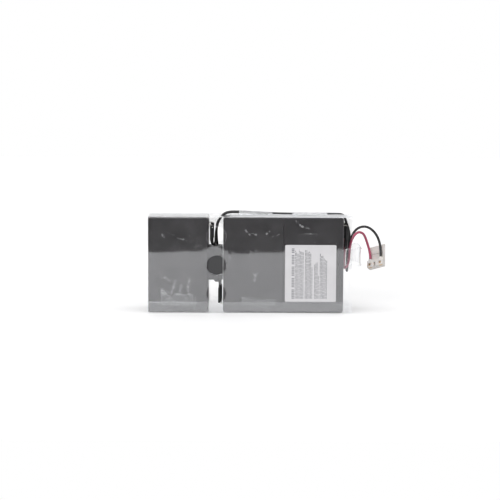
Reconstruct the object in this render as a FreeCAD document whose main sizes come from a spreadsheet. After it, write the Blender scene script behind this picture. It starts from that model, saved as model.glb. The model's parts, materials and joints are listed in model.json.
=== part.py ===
import FreeCAD, Part
import math
import os
import re
import Sketcher

# A battery pack: three sealed lead-acid blocks in a folded clear sleeve, wired in series to one plug.
# Frame: origin under the middle of the sleeve, +X along the row to the plug end, -Y front, +Z up.

# Driving dimensions, in millimetres and degrees
SIZES = {
    "block_length": 151.0,
    "block_width": 65.0,
    "container_height": 83.0,
    "lid_height": 11.5,
    "lid_overhang": 0.3,
    "block_corner": 2.5,
    "lid_edge": 1.5,
    "lid_end_bevel": 3.5,
    "case_wall": 2.8,
    "cell_wall": 1.4,
    "case_floor": 3.0,
    "plate_clearance": 0.8,
    "plate_headroom": 5.0,
    "plate_edge_height": 3.0,
    "plate_edge_thickness": 1.8,
    "plate_pitch": 8.0,
    "strap_width": 7.0,
    "strap_height": 6.0,
    "strap_length": 29.2,
    "strap_short_length": 19.5,
    "strap_short_shift": 4.9,
    "strap_cross_length": 22.6,
    "strap_clearance": 0.3,
    "post_diameter": 6.0,
    "post_clearance": 0.1,
    "terminal_inset": 13.0,
    "terminal_spread": 42.0,
    "well_length": 17.0,
    "well_width": 15.0,
    "well_depth": 6.0,
    "cover_thickness": 1.8,
    "cover_clearance": 0.2,
    "cover_ledge": 2.0,
    "cover_corner": 3.0,
    "cap_width": 10.0,
    "cap_height": 3.4,
    "cap_headroom": 0.2,
    "cap_margin": 1.5,
    "vent_width": 3.0,
    "vent_shift": 5.0,
    "tab_width": 6.3,
    "tab_thickness": 0.8,
    "tab_bend": 1.2,
    "tab_foot": 5.0,
    "blade_length": 9.0,
    "blade_rise": 5.2,
    "receptacle_length": 8.0,
    "receptacle_width": 7.8,
    "receptacle_height": 2.8,
    "receptacle_setback": 1.5,
    "blade_clearance": 0.06,
    "barrel_diameter": 3.6,
    "barrel_length": 9.0,
    "boot_length": 24.0,
    "boot_width": 10.6,
    "boot_height": 5.6,
    "boot_bevel": 1.5,
    "boot_neck": 6.2,
    "boot_taper": 11.0,
    "boot_overhang": 0.5,
    "boot_clearance": 0.2,
    "film_thickness": 0.5,
    "film_clearance": 0.2,
    "fold_radius": 1.4,
    "flap_height": 17.4,
    "flap_clearance": 0.15,
    "front_lift": 1.0,
    "left_margin": 1.5,
    "terminal_gap": 23.5,
    "back_clearance": 0.3,
    "terminal_bay": 14.2,
    "window_diameter": 30.0,
    "window_pitch": 45.0,
    "top_notch_width": 30.0,
    "top_notch_length": 24.5,
    "back_notch_height": 76.0,
    "back_notch_length": 18.5,
    "back_notch_shift": 14.0,
    "notch_corner": 6.0,
    "spacer_height": 52.0,
    "spacer_depth": 40.0,
    "spacer_slit": 0.8,
    "spacer_shift": 2.5,
    "spacer_edge": 1.5,
    "label_width": 80.4,
    "label_height": 90.2,
    "label_margin": 2.5,
    "label_gap": 0.8,
    "label_thickness": 0.15,
    "label_corner": 2.0,
    "tape_thickness": 0.15,
    "left_tape_height": 20.0,
    "middle_tape_height": 13.0,
    "flap_tape_grip": 3.0,
    "left_tape_width": 58.0,
    "left_tape_margin": 16.5,
    "middle_tape_width": 55.0,
    "middle_tape_margin": 28.0,
    "cable_tape_width": 54.0,
    "cable_tape_span": 38.0,
    "cable_tape_room": 0.6,
    "cable_tape_flare": 1.0,
    "near_tape_margin": 24.0,
    "far_tape_margin": 14.0,
    "cable_diameter": 4.0,
    "cable_spacing": 5.5,
    "cable_lift": 0.15,
    "cable_arch": 4.0,
    "cable_arch_end": 0.4,
    "pull_strap_width": 25.0,
    "pull_strap_thickness": 0.5,
    "pull_strap_shift": 14.0,
    "pull_strap_front_grip": 12.0,
    "pull_strap_back_grip": 14.0,
    "pull_strap_reach": 17.0,
    "pull_strap_bend": 12.0,
    "pull_strap_angle": 68.0,
    "plug_width": 28.0,
    "plug_height": 40.0,
    "plug_plate": 3.5,
    "plug_block_height": 11.0,
    "plug_block_depth": 7.0,
    "plug_corner": 1.2,
    "plug_pole_spacing": 18.5,
    "plug_collar_diameter": 6.6,
    "plug_collar_height": 3.0,
    "plug_wire_clearance": 0.15,
    "plug_rib_rise": 26.0,
    "plug_rib_width": 22.4,
    "plug_rib_height": 1.4,
    "plug_rib_depth": 1.0,
    "plug_key_width": 3.4,
    "plug_key_depth": 4.5,
    "plug_key_height": 7.0,
    "contact_width": 5.6,
    "contact_thickness": 2.2,
    "contact_length": 8.0,
    "contact_clearance": 0.2,
    "contact_setback": 0.5,
    "plug_window_width": 4.0,
    "plug_window_height": 5.0,
    "plug_past_end": 40.5,
    "plug_rise": 69.0,
    "plug_back": 1.8,
    "plug_yaw": -28.0,
    "plug_tilt": -17.0,
    "plug_lean": -34.5,
}

# Sizes worked out from the driving ones
DERIVED = {
    "block_height": "container_height + lid_height",
    "case_length": "block_length - 2 * lid_overhang",
    "case_width": "block_width - 2 * lid_overhang",
    "cell_length": "(case_length - 2 * case_wall - 2 * cell_wall) / 3",
    "cell_width": "(case_width - 2 * case_wall - cell_wall) / 2",
    "cell_pitch_along": "cell_length + cell_wall",
    "cell_pitch_across": "cell_width + cell_wall",
    "strap_top": "container_height - plate_headroom",
    "plate_top": "strap_top - strap_height",
    "plate_height": "plate_top - plate_edge_height - case_floor",
    "terminal_along": "block_length / 2 - terminal_inset",
    "well_floor": "block_height - well_depth",
    "chamber_floor": "block_height - cover_thickness - cap_headroom - cap_height",
    "chamber_length": "2 * cell_pitch_along + cap_width + 2 * cap_margin",
    "chamber_width": "cell_pitch_across + cap_width + 2 * cap_margin",
    "cover_length": "chamber_length + 2 * cover_ledge",
    "cover_width": "chamber_width + 2 * cover_ledge",
    "blade_height": "block_height + blade_rise",
    "receptacle_front": "terminal_along - receptacle_setback",
    "receptacle_back": "receptacle_front - receptacle_length",
    "wire_start": "receptacle_back - barrel_length",
    "boot_front": "receptacle_front + boot_overhang",
    "sleeve_length": "left_margin + 3 * block_height + terminal_gap + back_clearance + terminal_bay",
    "sleeve_end": "sleeve_length / 2",
    "left_base": "left_margin - sleeve_end",
    "left_face": "left_base + block_height",
    "middle_face": "left_face + terminal_gap",
    "middle_base": "middle_face + block_height",
    "right_base": "middle_base + back_clearance",
    "right_face": "right_base + block_height",
    "gap_middle": "left_face + terminal_gap / 2",
    "block_middle": "film_thickness + block_length / 2",
    "spacer_rise": "block_middle + spacer_shift",
    "back_notch_rise": "block_middle + back_notch_shift",
    "pull_strap_rise": "block_middle + pull_strap_shift",
    "inside_half": "block_width / 2 + film_clearance",
    "front_face": "inside_half + film_thickness",
    "flap_face": "front_face + flap_clearance + film_thickness",
    "inside_top": "film_thickness + block_length + film_clearance",
    "sleeve_top": "inside_top + film_thickness",
    "cable_level": "sleeve_top + cable_diameter / 2 + cable_lift",
    "plug_wire_depth": "plug_block_depth / 2",
    "plug_mouth": "plug_block_height + plug_collar_height",
    "plug_wire_end": "contact_setback + contact_length",
}

BLOCKS = ("left", "middle", "right")
TERMINALS = (("negative", 0.5), ("positive", -0.5))
CELL_ROWS = 2
CELLS_PER_ROW = 3
PLATE_EDGES = 3
WINDOWS = 3
ARC_SHARE = 0.45
NOSE_SHARE = 0.96
OCTAGON_CORNER = 1 - math.sqrt(0.5)
NAME = re.compile(r"[a-z_]{3,}")

doc = FreeCAD.newDocument("battery_pack")
sheet = doc.addObject("Spreadsheet::Sheet", "sizes")
for row, (alias, number) in enumerate(SIZES.items(), start=1):
    sheet.set(f"A{row}", alias)
    sheet.set(f"B{row}", str(number))
    sheet.setAlias(f"B{row}", alias)
doc.recompute()

subparts = []


# Sizes and bindings
def formula(words):
    """Sheet formula for an expression that is written in plain size names."""
    def spell(match):
        name = match.group()
        if name in DERIVED:
            return "(" + formula(DERIVED[name]) + ")"
        return "sizes." + name if name in SIZES else name
    return NAME.sub(spell, str(words))


def value(words):
    return float(sheet.evalExpression(formula(words)))


def bind(feature, path, words):
    feature.setExpression(path, formula(words))


# Bodies, sketches and features
def new_body(label, separate_solids=False):
    body = doc.addObject("PartDesign::Body", label)
    body.Label = label
    body.AllowCompound = separate_solids
    subparts.append(body)
    return body


def new_sketch(body, plane, offset="0"):
    """Sketch on one of the body's own origin planes, moved along the plane's normal."""
    sketch = body.newObject("Sketcher::SketchObject", "sketch")
    support = next(item for item in body.Origin.OriginFeatures if item.Role == plane)
    sketch.AttachmentSupport = (support, "")
    sketch.MapMode = "FlatFace"
    bind(sketch, "AttachmentOffset.Base.z", offset)
    return sketch


def point_ties(geometry, point, across, up):
    """Two constraints that hold a point at its distances from the origin, with their expressions."""
    for kind, words in (("DistanceX", across), ("DistanceY", up)):
        yield Sketcher.Constraint(kind, -1, 1, geometry, point, value(words)), words


def constrain(sketch, plain, tied):
    """Add plain constraints, then constraints that are each tied to an expression."""
    first = sketch.ConstraintCount + len(plain)
    sketch.addConstraint(plain + [constraint for constraint, words in tied])
    for place, (constraint, words) in enumerate(tied, start=first):
        bind(sketch, f"Constraints[{place}]", words)


def flat_point(across, up):
    return FreeCAD.Vector(value(across), value(up), 0)


def polygon(sketch, corners):
    """Closed outline through corners that are written as pairs of expressions."""
    points = [flat_point(*corner) for corner in corners]
    first = sketch.GeometryCount
    count = len(corners)
    plain = []
    tied = []
    for place in range(count):
        following = (place + 1) % count
        sketch.addGeometry(Part.LineSegment(points[place], points[following]))
        plain.append(Sketcher.Constraint("Coincident", first + place, 2, first + following, 1))
        tied.extend(point_ties(first + place, 1, *corners[place]))
    constrain(sketch, plain, tied)


def rectangle(sketch, middle, width, height):
    across, up = middle
    low, high = f"{up} - ({height}) / 2", f"{up} + ({height}) / 2"
    left, right = f"{across} - ({width}) / 2", f"{across} + ({width}) / 2"
    polygon(sketch, [(left, low), (right, low), (right, high), (left, high)])


def bevelled_rectangle(sketch, middle, width, height, bevel):
    """Rectangle with its four corners cut off."""
    across, up = middle
    low, high = f"{up} - ({height}) / 2", f"{up} + ({height}) / 2"
    left, right = f"{across} - ({width}) / 2", f"{across} + ({width}) / 2"
    polygon(sketch, [
        (f"{left} + {bevel}", low),
        (f"{right} - {bevel}", low),
        (right, f"{low} + {bevel}"),
        (right, f"{high} - {bevel}"),
        (f"{right} - {bevel}", high),
        (f"{left} + {bevel}", high),
        (left, f"{high} - {bevel}"),
        (left, f"{low} + {bevel}"),
    ])


def octagon(sketch, middle, width):
    bevelled_rectangle(sketch, middle, width, width, f"{OCTAGON_CORNER} * {width}")


def circle(sketch, middle, diameter):
    size = value(diameter)
    index = sketch.addGeometry(Part.Circle(flat_point(*middle), FreeCAD.Vector(0, 0, 1), size / 2))
    tied = list(point_ties(index, 3, *middle))
    tied.append((Sketcher.Constraint("Diameter", index, size), diameter))
    constrain(sketch, [], tied)


def pad(body, sketch, length, both_ways=False, backwards=False):
    feature = body.newObject("PartDesign::Pad", "pad")
    feature.Profile = sketch
    feature.SideType = "Symmetric" if both_ways else "One side"
    feature.Reversed = backwards
    bind(feature, "Length", length)
    body.Tip = feature
    return feature


def pocket(body, sketch, depth, backwards=False, both_ways=False):
    """Cut the sketch into the body, and make sure that it removes something."""
    doc.recompute()
    volume_before = body.Tip.Shape.Volume
    feature = body.newObject("PartDesign::Pocket", "pocket")
    feature.Profile = sketch
    feature.SideType = "Symmetric" if both_ways else "One side"
    feature.Reversed = backwards
    bind(feature, "Length", depth)
    body.Tip = feature
    doc.recompute()
    if feature.Shape.Volume >= volume_before - 1e-6:
        raise RuntimeError(f"{body.Label}: a pocket cuts nothing")
    return feature


def dress_edges(body, kind, property_name, size, chosen):
    """Fillet or chamfer the edges of the body that the test picks out."""
    doc.recompute()
    base = body.Tip
    names = [f"Edge{place}" for place, edge in enumerate(base.Shape.Edges, start=1) if chosen(edge)]
    feature = body.newObject(kind, "dressing")
    feature.Base = (base, names)
    bind(feature, property_name, size)
    body.Tip = feature
    doc.recompute()


def round_edges(body, radius, chosen):
    dress_edges(body, "PartDesign::Fillet", "Radius", radius, chosen)


def bevel_edges(body, size, chosen):
    dress_edges(body, "PartDesign::Chamfer", "Size", size, chosen)


def runs_along(edge, axis):
    if not isinstance(edge.Curve, Part.Line):
        return False
    start, end = (vertex.Point for vertex in (edge.Vertexes[0], edge.Vertexes[-1]))
    direction = (end - start).normalize()
    return abs(abs(direction.dot(axis)) - 1) < 1e-6


X_AXIS = FreeCAD.Vector(1, 0, 0)
Y_AXIS = FreeCAD.Vector(0, 1, 0)
Z_AXIS = FreeCAD.Vector(0, 0, 1)


def solid_feature(label, shape, placement=None):
    feature = doc.addObject("Part::Feature", label)
    feature.Label = label
    feature.Shape = shape
    feature.Placement = placement or FreeCAD.Placement()
    subparts.append(feature)
    return feature


# Bent strips of even thickness
def strip_side(points, radii, offset, to_space):
    """Edges of one side of a bent strip, and the two ends of that side. A radius of 0 is a sharp fold."""
    flat = [FreeCAD.Vector(across, up, 0) for across, up in points]
    runs = [(end - start).normalize() for start, end in zip(flat, flat[1:])]
    lefts = [FreeCAD.Vector(-run.y, run.x, 0) for run in runs]
    position = flat[0] + lefts[0] * offset
    first = position
    edges = []
    for place, radius in enumerate(radii, start=1):
        before, after = runs[place - 1], runs[place]
        if not radius:
            mitre = (lefts[place - 1] + lefts[place]) / (1 + before.dot(after))
            corner = flat[place] + mitre * offset
            edges.append(Part.LineSegment(to_space(position), to_space(corner)).toShape())
            position = corner
            continue
        side = 1 if before.cross(after).z > 0 else -1
        reach = radius * math.tan(before.getAngle(after) / 2)
        centre = flat[place] - before * reach + lefts[place - 1] * radius * side
        arc_start = flat[place] - before * reach + lefts[place - 1] * offset
        arc_end = flat[place] + after * reach + lefts[place] * offset
        outward = (flat[place] - centre).normalize()
        arc_middle = centre + outward * (radius - side * offset)
        edges.append(Part.LineSegment(to_space(position), to_space(arc_start)).toShape())
        edges.append(Part.Arc(to_space(arc_start), to_space(arc_middle), to_space(arc_end)).toShape())
        position = arc_end
    last = flat[-1] + lefts[-1] * offset
    edges.append(Part.LineSegment(to_space(position), to_space(last)).toShape())
    return edges, to_space(first), to_space(last)


def strip_outline(points, radii, thickness, to_space):
    """Closed wire of a bent strip whose middle line runs through the points."""
    one, one_start, one_end = strip_side(points, radii, thickness / 2, to_space)
    other, other_start, other_end = strip_side(points, radii, -thickness / 2, to_space)
    ends = [Part.LineSegment(one_start, other_start).toShape(),
            Part.LineSegment(one_end, other_end).toShape()]
    return Part.Wire(Part.sortEdges(one + other + ends)[0])


def flat_sided_solid(first, last):
    """Solid between two outlines with as many straight sides, each pair of sides joined by a flat face."""
    near = [vertex.Point for vertex in first.OrderedVertexes]
    far = [vertex.Point for vertex in last.OrderedVertexes]
    faces = [Part.Face(first), Part.Face(last)]
    for place in range(len(near)):
        corners = [near[place - 1], near[place], far[place], far[place - 1]]
        faces.append(Part.Face(Part.makePolygon(corners + corners[:1])))
    shell = Part.Shell(faces)
    shell.sewShape()
    return Part.Solid(shell)


# The sealed blocks, each in its own frame: X to the terminal end, Z from the base to the lid
STANDING = FreeCAD.Rotation(Z_AXIS, -Y_AXIS, X_AXIS, "XYZ")
HANGING = FreeCAD.Rotation(-Z_AXIS, -Y_AXIS, -X_AXIS, "XYZ")


def place_in_row(piece, block, side=0):
    """Stand a piece on its end in the row, lid to the right or, in the middle block, to the left."""
    rotation = HANGING if block == "middle" else STANDING
    piece.Placement = FreeCAD.Placement(FreeCAD.Vector(), rotation)
    bind(piece, "Placement.Base.x", f"{block}_base")
    bind(piece, "Placement.Base.y", f"{-side} * terminal_spread")
    bind(piece, "Placement.Base.z", "block_middle")


def linked_copy(piece, label):
    """Body of its own that follows the piece's shape."""
    copy = new_body(label, separate_solids=True)
    follower = doc.addObject("PartDesign::FeatureBase", "follower")
    copy.Group = [follower]
    follower.BaseFeature = piece
    copy.Tip = follower
    return copy


def stand_in_row(piece, name):
    """Stand the piece in the left block and a copy of it in each of the others."""
    place_in_row(piece, "left")
    for block in BLOCKS[1:]:
        place_in_row(linked_copy(piece, f"{block}_{name}"), block)


def stand_at_terminals(piece, name):
    """Stand the piece at the left block's first terminal and a copy of it at each of the others."""
    for block in BLOCKS:
        for pole, side in TERMINALS:
            label = f"{block}_{pole}_{name}"
            place_in_row(piece if label == piece.Label else linked_copy(piece, label), block, side)


def cell_middles():
    for row in range(CELL_ROWS):
        for cell in range(CELLS_PER_ROW):
            yield (f"{cell - 1} * cell_pitch_along", f"{row - 0.5} * cell_pitch_across")


def make_container():
    body = new_body("left_container")
    outline = new_sketch(body, "XY_Plane")
    rectangle(outline, ("0", "0"), "case_length", "case_width")
    pad(body, outline, "container_height")
    round_edges(body, "block_corner", lambda edge: runs_along(edge, Z_AXIS))
    cell = new_sketch(body, "XY_Plane", "case_floor")
    for middle in cell_middles():
        rectangle(cell, middle, "cell_length", "cell_width")
    pocket(body, cell, "container_height", backwards=True)
    notch = new_sketch(body, "XY_Plane", "plate_top - strap_clearance")
    notch_width = "strap_width + 2 * strap_clearance"
    notch_length = "cell_wall + 2 * strap_clearance"
    for along, across in strap_crossings():
        if across == "0":
            rectangle(notch, (along, across), notch_width, notch_length)
        else:
            rectangle(notch, (along, across), notch_length, notch_width)
    pocket(body, notch, "container_height", backwards=True)
    stand_in_row(body, "container")


def strap_crossings():
    """Where the cell straps cross a cell wall: along both rows and once between them at the far end."""
    for step in ("-0.5", "0.5"):
        for row in ("-0.5", "0.5"):
            yield (f"{step} * cell_pitch_along", f"{row} * cell_pitch_across")
    yield ("-1 * cell_pitch_along", "0")


def make_plate_stacks():
    body = new_body("left_plate_stacks", separate_solids=True)
    stack = new_sketch(body, "XY_Plane", "case_floor")
    for middle in cell_middles():
        rectangle(stack, middle, "cell_length - 2 * plate_clearance", "cell_width - 2 * plate_clearance")
    pad(body, stack, "plate_height")
    edges = new_sketch(body, "XY_Plane", "case_floor + plate_height")
    for along, across in cell_middles():
        for plate in range(PLATE_EDGES):
            shifted = f"{across} + {plate - PLATE_EDGES // 2} * plate_pitch"
            rectangle(edges, (along, shifted), "cell_length - 4 * plate_clearance", "plate_edge_thickness")
    pad(body, edges, "plate_edge_height")
    stand_in_row(body, "plate_stacks")


def make_cell_straps():
    """Lead straps that join the cells in a U, with a post under each terminal."""
    body = new_body("left_cell_straps", separate_solids=True)
    straps = new_sketch(body, "XY_Plane", "plate_top")
    for along, across in strap_crossings():
        if across == "0":
            rectangle(straps, (along, across), "strap_width", "strap_cross_length")
        elif along.startswith("0.5"):
            rectangle(straps, (along, across), "strap_length", "strap_width")
        else:
            rectangle(straps, (f"{along} + strap_short_shift", across), "strap_short_length", "strap_width")
    for side in ("-0.5", "0.5"):
        rectangle(straps, ("terminal_along", f"{side} * terminal_spread"), "strap_width", "strap_width")
    pad(body, straps, "strap_height")
    posts = new_sketch(body, "XY_Plane", "strap_top")
    for side in ("-0.5", "0.5"):
        circle(posts, ("terminal_along", f"{side} * terminal_spread"), "post_diameter")
    pad(body, posts, "well_floor - strap_top")
    stand_in_row(body, "cell_straps")


def make_lid():
    body = new_body("left_lid")
    outline = new_sketch(body, "XY_Plane", "container_height")
    rectangle(outline, ("0", "0"), "block_length", "block_width")
    pad(body, outline, "lid_height")
    round_edges(body, "block_corner", lambda edge: runs_along(edge, Z_AXIS))
    top = value("block_height")
    bevel_edges(body, "lid_edge", lambda edge: abs(edge.BoundBox.ZMin - top) < 1e-6)
    ends = new_sketch(body, "XZ_Plane")
    for side in ("-0.5", "0.5"):
        past_end = f"{side} * (block_length + 2 * lid_end_bevel)"
        polygon(ends, [
            (f"{side} * (block_length - 4 * lid_end_bevel)", "block_height + lid_end_bevel"),
            (past_end, "block_height - 2 * lid_end_bevel"),
            (past_end, "block_height + lid_end_bevel"),
        ])
    pocket(body, ends, "block_width", both_ways=True)
    seat = new_sketch(body, "XY_Plane", "block_height - cover_thickness")
    rectangle(seat, ("-vent_shift", "0"), "cover_length + 2 * cover_clearance",
              "cover_width + 2 * cover_clearance")
    pocket(body, seat, "cover_thickness + lid_height", backwards=True)
    chamber = new_sketch(body, "XY_Plane", "chamber_floor")
    rectangle(chamber, ("-vent_shift", "0"), "chamber_length", "chamber_width")
    pocket(body, chamber, "lid_height", backwards=True)
    wells = new_sketch(body, "XY_Plane", "well_floor")
    for side in ("-0.5", "0.5"):
        rectangle(wells, ("terminal_along", f"{side} * terminal_spread"), "well_length", "well_width")
    pocket(body, wells, "lid_height", backwards=True)
    bores = new_sketch(body, "XY_Plane", "container_height")
    for side in ("-0.5", "0.5"):
        circle(bores, ("terminal_along", f"{side} * terminal_spread"), "post_diameter + 2 * post_clearance")
    for along, across in cell_middles():
        octagon(bores, (f"{along} - vent_shift", across), "vent_width")
    pocket(body, bores, "lid_height", backwards=True)
    stand_in_row(body, "lid")


def make_vent_cover():
    body = new_body("left_vent_cover")
    plate = new_sketch(body, "XY_Plane", "block_height - cover_thickness")
    rectangle(plate, ("-vent_shift", "0"), "cover_length", "cover_width")
    pad(body, plate, "cover_thickness")
    round_edges(body, "cover_corner", lambda edge: runs_along(edge, Z_AXIS))
    stand_in_row(body, "vent_cover")


def make_valve_caps():
    body = new_body("left_valve_caps", separate_solids=True)
    caps = new_sketch(body, "XY_Plane", "chamber_floor")
    for along, across in cell_middles():
        octagon(caps, (f"{along} - vent_shift", across), "cap_width")
    pad(body, caps, "cap_height")
    stand_in_row(body, "valve_caps")


# Terminals and the push-on ends of the wiring, each made round the middle of the block
def make_tab():
    """Bent tab: a foot on the post, a riser out of the well and a blade back over the lid."""
    along = value("terminal_along")
    foot_level = value("well_floor + tab_thickness / 2")
    blade_level = value("blade_height")
    points = [(along + value("tab_foot"), foot_level), (along, foot_level), (along, blade_level),
              (along - value("blade_length"), blade_level)]
    half = value("tab_width") / 2
    bends = [value("tab_bend")] * 2
    outline = strip_outline(points, bends, value("tab_thickness"),
                            lambda flat: FreeCAD.Vector(flat.x, -half, flat.y))
    shape = Part.Face(outline).extrude(Y_AXIS * value("tab_width"))
    stand_at_terminals(solid_feature("left_negative_tab", shape), "tab")


def make_receptacle():
    """Push-on receptacle: a flat sleeve round the blade and a barrel round the wire's end."""
    body = new_body("left_negative_receptacle")
    middle = ("0", "blade_height")
    sleeve = new_sketch(body, "YZ_Plane", "receptacle_back")
    rectangle(sleeve, middle, "receptacle_width", "receptacle_height")
    pad(body, sleeve, "receptacle_length")
    slot = new_sketch(body, "YZ_Plane", "terminal_along - blade_length - blade_clearance")
    rectangle(slot, middle, "tab_width + 2 * blade_clearance", "tab_thickness + 2 * blade_clearance")
    pocket(body, slot, "receptacle_length", backwards=True)
    barrel = new_sketch(body, "YZ_Plane", "wire_start")
    circle(barrel, middle, "barrel_diameter")
    pad(body, barrel, "barrel_length")
    stand_at_terminals(body, "receptacle")


def make_boot():
    """Soft sleeve over a receptacle: flat round the blade, drawn in to a narrow neck at the wire."""
    body = new_body("left_negative_boot")
    middle = ("0", "blade_height")
    outline = new_sketch(body, "XY_Plane", "blade_height")
    shoulder = "boot_front - boot_length + boot_taper"
    polygon(outline, [
        ("boot_front", "-boot_width / 2"),
        ("boot_front", "boot_width / 2"),
        (shoulder, "boot_width / 2"),
        ("boot_front - boot_length", "boot_neck / 2"),
        ("boot_front - boot_length", "-boot_neck / 2"),
        (shoulder, "-boot_width / 2"),
    ])
    pad(body, outline, "boot_height", both_ways=True)
    bevel_edges(body, "boot_bevel", lambda edge: not any(runs_along(edge, axis) for axis in (Y_AXIS, Z_AXIS)))
    cavity = new_sketch(body, "YZ_Plane", "receptacle_back - boot_clearance")
    rectangle(cavity, middle, "receptacle_width + 2 * boot_clearance",
              "receptacle_height + 2 * boot_clearance")
    pocket(body, cavity, "boot_length", backwards=True)
    bore = new_sketch(body, "YZ_Plane", "boot_front - boot_length")
    circle(bore, middle, "cable_diameter + 2 * boot_clearance")
    pocket(body, bore, "boot_length - receptacle_length", backwards=True)
    stand_at_terminals(body, "boot")


# The folded clear sleeve and what lies in it
def make_sleeve():
    """One sheet: outer front flap, bottom, back, top and front, with windows, a cable hole and notches."""
    body = new_body("clear_sleeve")
    profile = new_sketch(body, "YZ_Plane")
    polygon(profile, [
        ("-flap_face", "flap_height"),
        ("-flap_face", "0"),
        ("front_face", "0"),
        ("front_face", "sleeve_top"),
        ("-front_face", "sleeve_top"),
        ("-front_face", "film_thickness + front_lift"),
        ("-inside_half", "film_thickness + front_lift"),
        ("-inside_half", "inside_top"),
        ("inside_half", "inside_top"),
        ("inside_half", "film_thickness"),
        ("film_thickness - flap_face", "film_thickness"),
        ("film_thickness - flap_face", "flap_height"),
    ])
    pad(body, profile, "sleeve_length", both_ways=True)
    outer = [value("flap_face"), value("front_face")]
    levels = [0, value("sleeve_top")]

    def is_fold(edge, sides, heights):
        if not runs_along(edge, X_AXIS):
            return False
        point = edge.Vertexes[0].Point
        return (any(abs(abs(point.y) - side) < 1e-6 for side in sides)
                and any(abs(point.z - height) < 1e-6 for height in heights))

    round_edges(body, "fold_radius", lambda edge: is_fold(edge, outer, levels))
    inner = [value("inside_half"), value("flap_face - film_thickness")]
    inner_levels = [value("film_thickness"), value("inside_top")]
    round_edges(body, "fold_radius - film_thickness", lambda edge: is_fold(edge, inner, inner_levels))
    windows = new_sketch(body, "XZ_Plane")
    for window in range(WINDOWS):
        rise = f"block_middle + {window - WINDOWS // 2} * window_pitch"
        circle(windows, ("gap_middle", rise), "window_diameter")
    pocket(body, windows, "2 * flap_face + film_thickness", both_ways=True)
    cable_hole = new_sketch(body, "XY_Plane", "inside_top - film_clearance")
    circle(cable_hole, ("gap_middle", "0"), "window_diameter")
    pocket(body, cable_hole, "2 * film_thickness", backwards=True)
    top_notch = new_sketch(body, "XY_Plane", "inside_top - film_clearance")
    rectangle(top_notch, ("sleeve_end", "0"), "2 * top_notch_length", "top_notch_width")
    pocket(body, top_notch, "2 * film_thickness", backwards=True)
    back_notch = new_sketch(body, "XZ_Plane", "-front_face - film_thickness")
    rectangle(back_notch, ("sleeve_end", "back_notch_rise"), "2 * back_notch_length", "back_notch_height")
    pocket(body, back_notch, "front_face + film_thickness - block_width / 2", backwards=True)
    end = value("sleeve_end")
    thickness = value("film_thickness")

    def is_notch_corner(edge):
        if abs(edge.Length - thickness) > 1e-6:
            return False
        point = edge.Vertexes[0].Point
        at_top = runs_along(edge, Z_AXIS) and abs(point.y) < value("inside_half") - 1
        at_back = runs_along(edge, Y_AXIS) and point.y > 0 and 1 < point.z < value("inside_top") - 1
        return point.x > end - value("top_notch_length") - 1 and (at_top or at_back)

    round_edges(body, "notch_corner", is_notch_corner)


def make_spacer():
    """Foam spacer that holds two facing lids apart, glued to the left one."""
    body = new_body("spacer_block")
    section = new_sketch(body, "XZ_Plane", "block_width / 2")
    width = "terminal_gap - spacer_slit"
    rectangle(section, ("left_face + (terminal_gap - spacer_slit) / 2", "spacer_rise"), width, "spacer_height")
    pad(body, section, "spacer_depth", backwards=True)
    face = value("left_face")
    round_edges(body, "spacer_edge",
                lambda edge: runs_along(edge, Y_AXIS) and edge.Vertexes[0].Point.x > face + 1)


def make_label():
    body = new_body("rating_label")
    outline = new_sketch(body, "XZ_Plane", "front_face")
    middle = ("right_base + label_margin + label_width / 2", "flap_height + label_gap + label_height / 2")
    rectangle(outline, middle, "label_width", "label_height")
    pad(body, outline, "label_thickness")
    round_edges(body, "label_corner", lambda edge: runs_along(edge, Y_AXIS))


def make_flap_tape(label, start, width, height):
    """Tape that holds the front flap down, stepped over the flap's edge."""
    half = value("tape_thickness") / 2
    over_flap = -value("flap_face") - half
    over_front = -value("front_face") - half
    edge = value("flap_height") + half * 2
    low = edge - value("flap_tape_grip")
    points = [(over_flap, low), (over_flap, edge), (over_front, edge + value("film_thickness")),
              (over_front, low + value(height))]
    bends = [value("tape_thickness")] * 2
    outline = strip_outline(points, bends, value("tape_thickness"),
                            lambda flat: FreeCAD.Vector(value(start), flat.x, flat.y))
    solid_feature(label, Part.Face(outline).extrude(X_AXIS * value(width)))


def cable_tape_outline(along, lift):
    """Section of the tape over the pair of cables, at one place along the top."""
    half = value("tape_thickness") / 2
    low = value("sleeve_top") + half
    room = value("cable_tape_room")
    high = value("cable_level + cable_diameter / 2") + lift + room + half
    shoulder = value("cable_spacing / 2") + room
    foot = shoulder + value("cable_tape_flare") * (high - low)
    wing = value("cable_tape_span") / 2
    points = [(-wing, low), (-foot, low), (-shoulder, high), (shoulder, high), (foot, low), (wing, low)]
    bends = [0] * 4
    return strip_outline(points, bends, value("tape_thickness"),
                         lambda flat: FreeCAD.Vector(along, flat.x, flat.y))


def make_cable_tape(label, start, lift_at_start, lift_at_end):
    first = cable_tape_outline(value(start), value(lift_at_start))
    last = cable_tape_outline(value(f"{start} + cable_tape_width"), value(lift_at_end))
    solid_feature(label, flat_sided_solid(first, last))


def make_pull_strap():
    """Clear strip that loops round the plug end as a handle, glued to the front and back panels."""
    half = value("pull_strap_thickness") / 2
    face = value("front_face") + half
    bend = value("pull_strap_bend")
    slope = math.radians(value("pull_strap_angle"))
    end = value("sleeve_end")
    flat_bend = face - bend * (1 - math.cos(slope))
    sag = flat_bend * math.tan((math.pi / 2 - slope) / 2)
    start_of_bend = end + value("pull_strap_reach") - sag - bend * math.sin(slope)
    corner = start_of_bend + bend * math.tan(slope / 2)
    nose = corner + face / math.tan(slope)
    points = [(end - value("pull_strap_front_grip"), -face), (corner, -face), (nose, 0), (corner, face),
              (end - value("back_notch_length + pull_strap_back_grip"), face)]
    radii = [bend, NOSE_SHARE * flat_bend / math.cos(slope), bend]
    low = value("pull_strap_rise - pull_strap_width / 2")
    outline = strip_outline(points, radii, value("pull_strap_thickness"),
                            lambda flat: FreeCAD.Vector(flat.x, flat.y, low))
    solid_feature("pull_strap", Part.Face(outline).extrude(Z_AXIS * value("pull_strap_width")))


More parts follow.
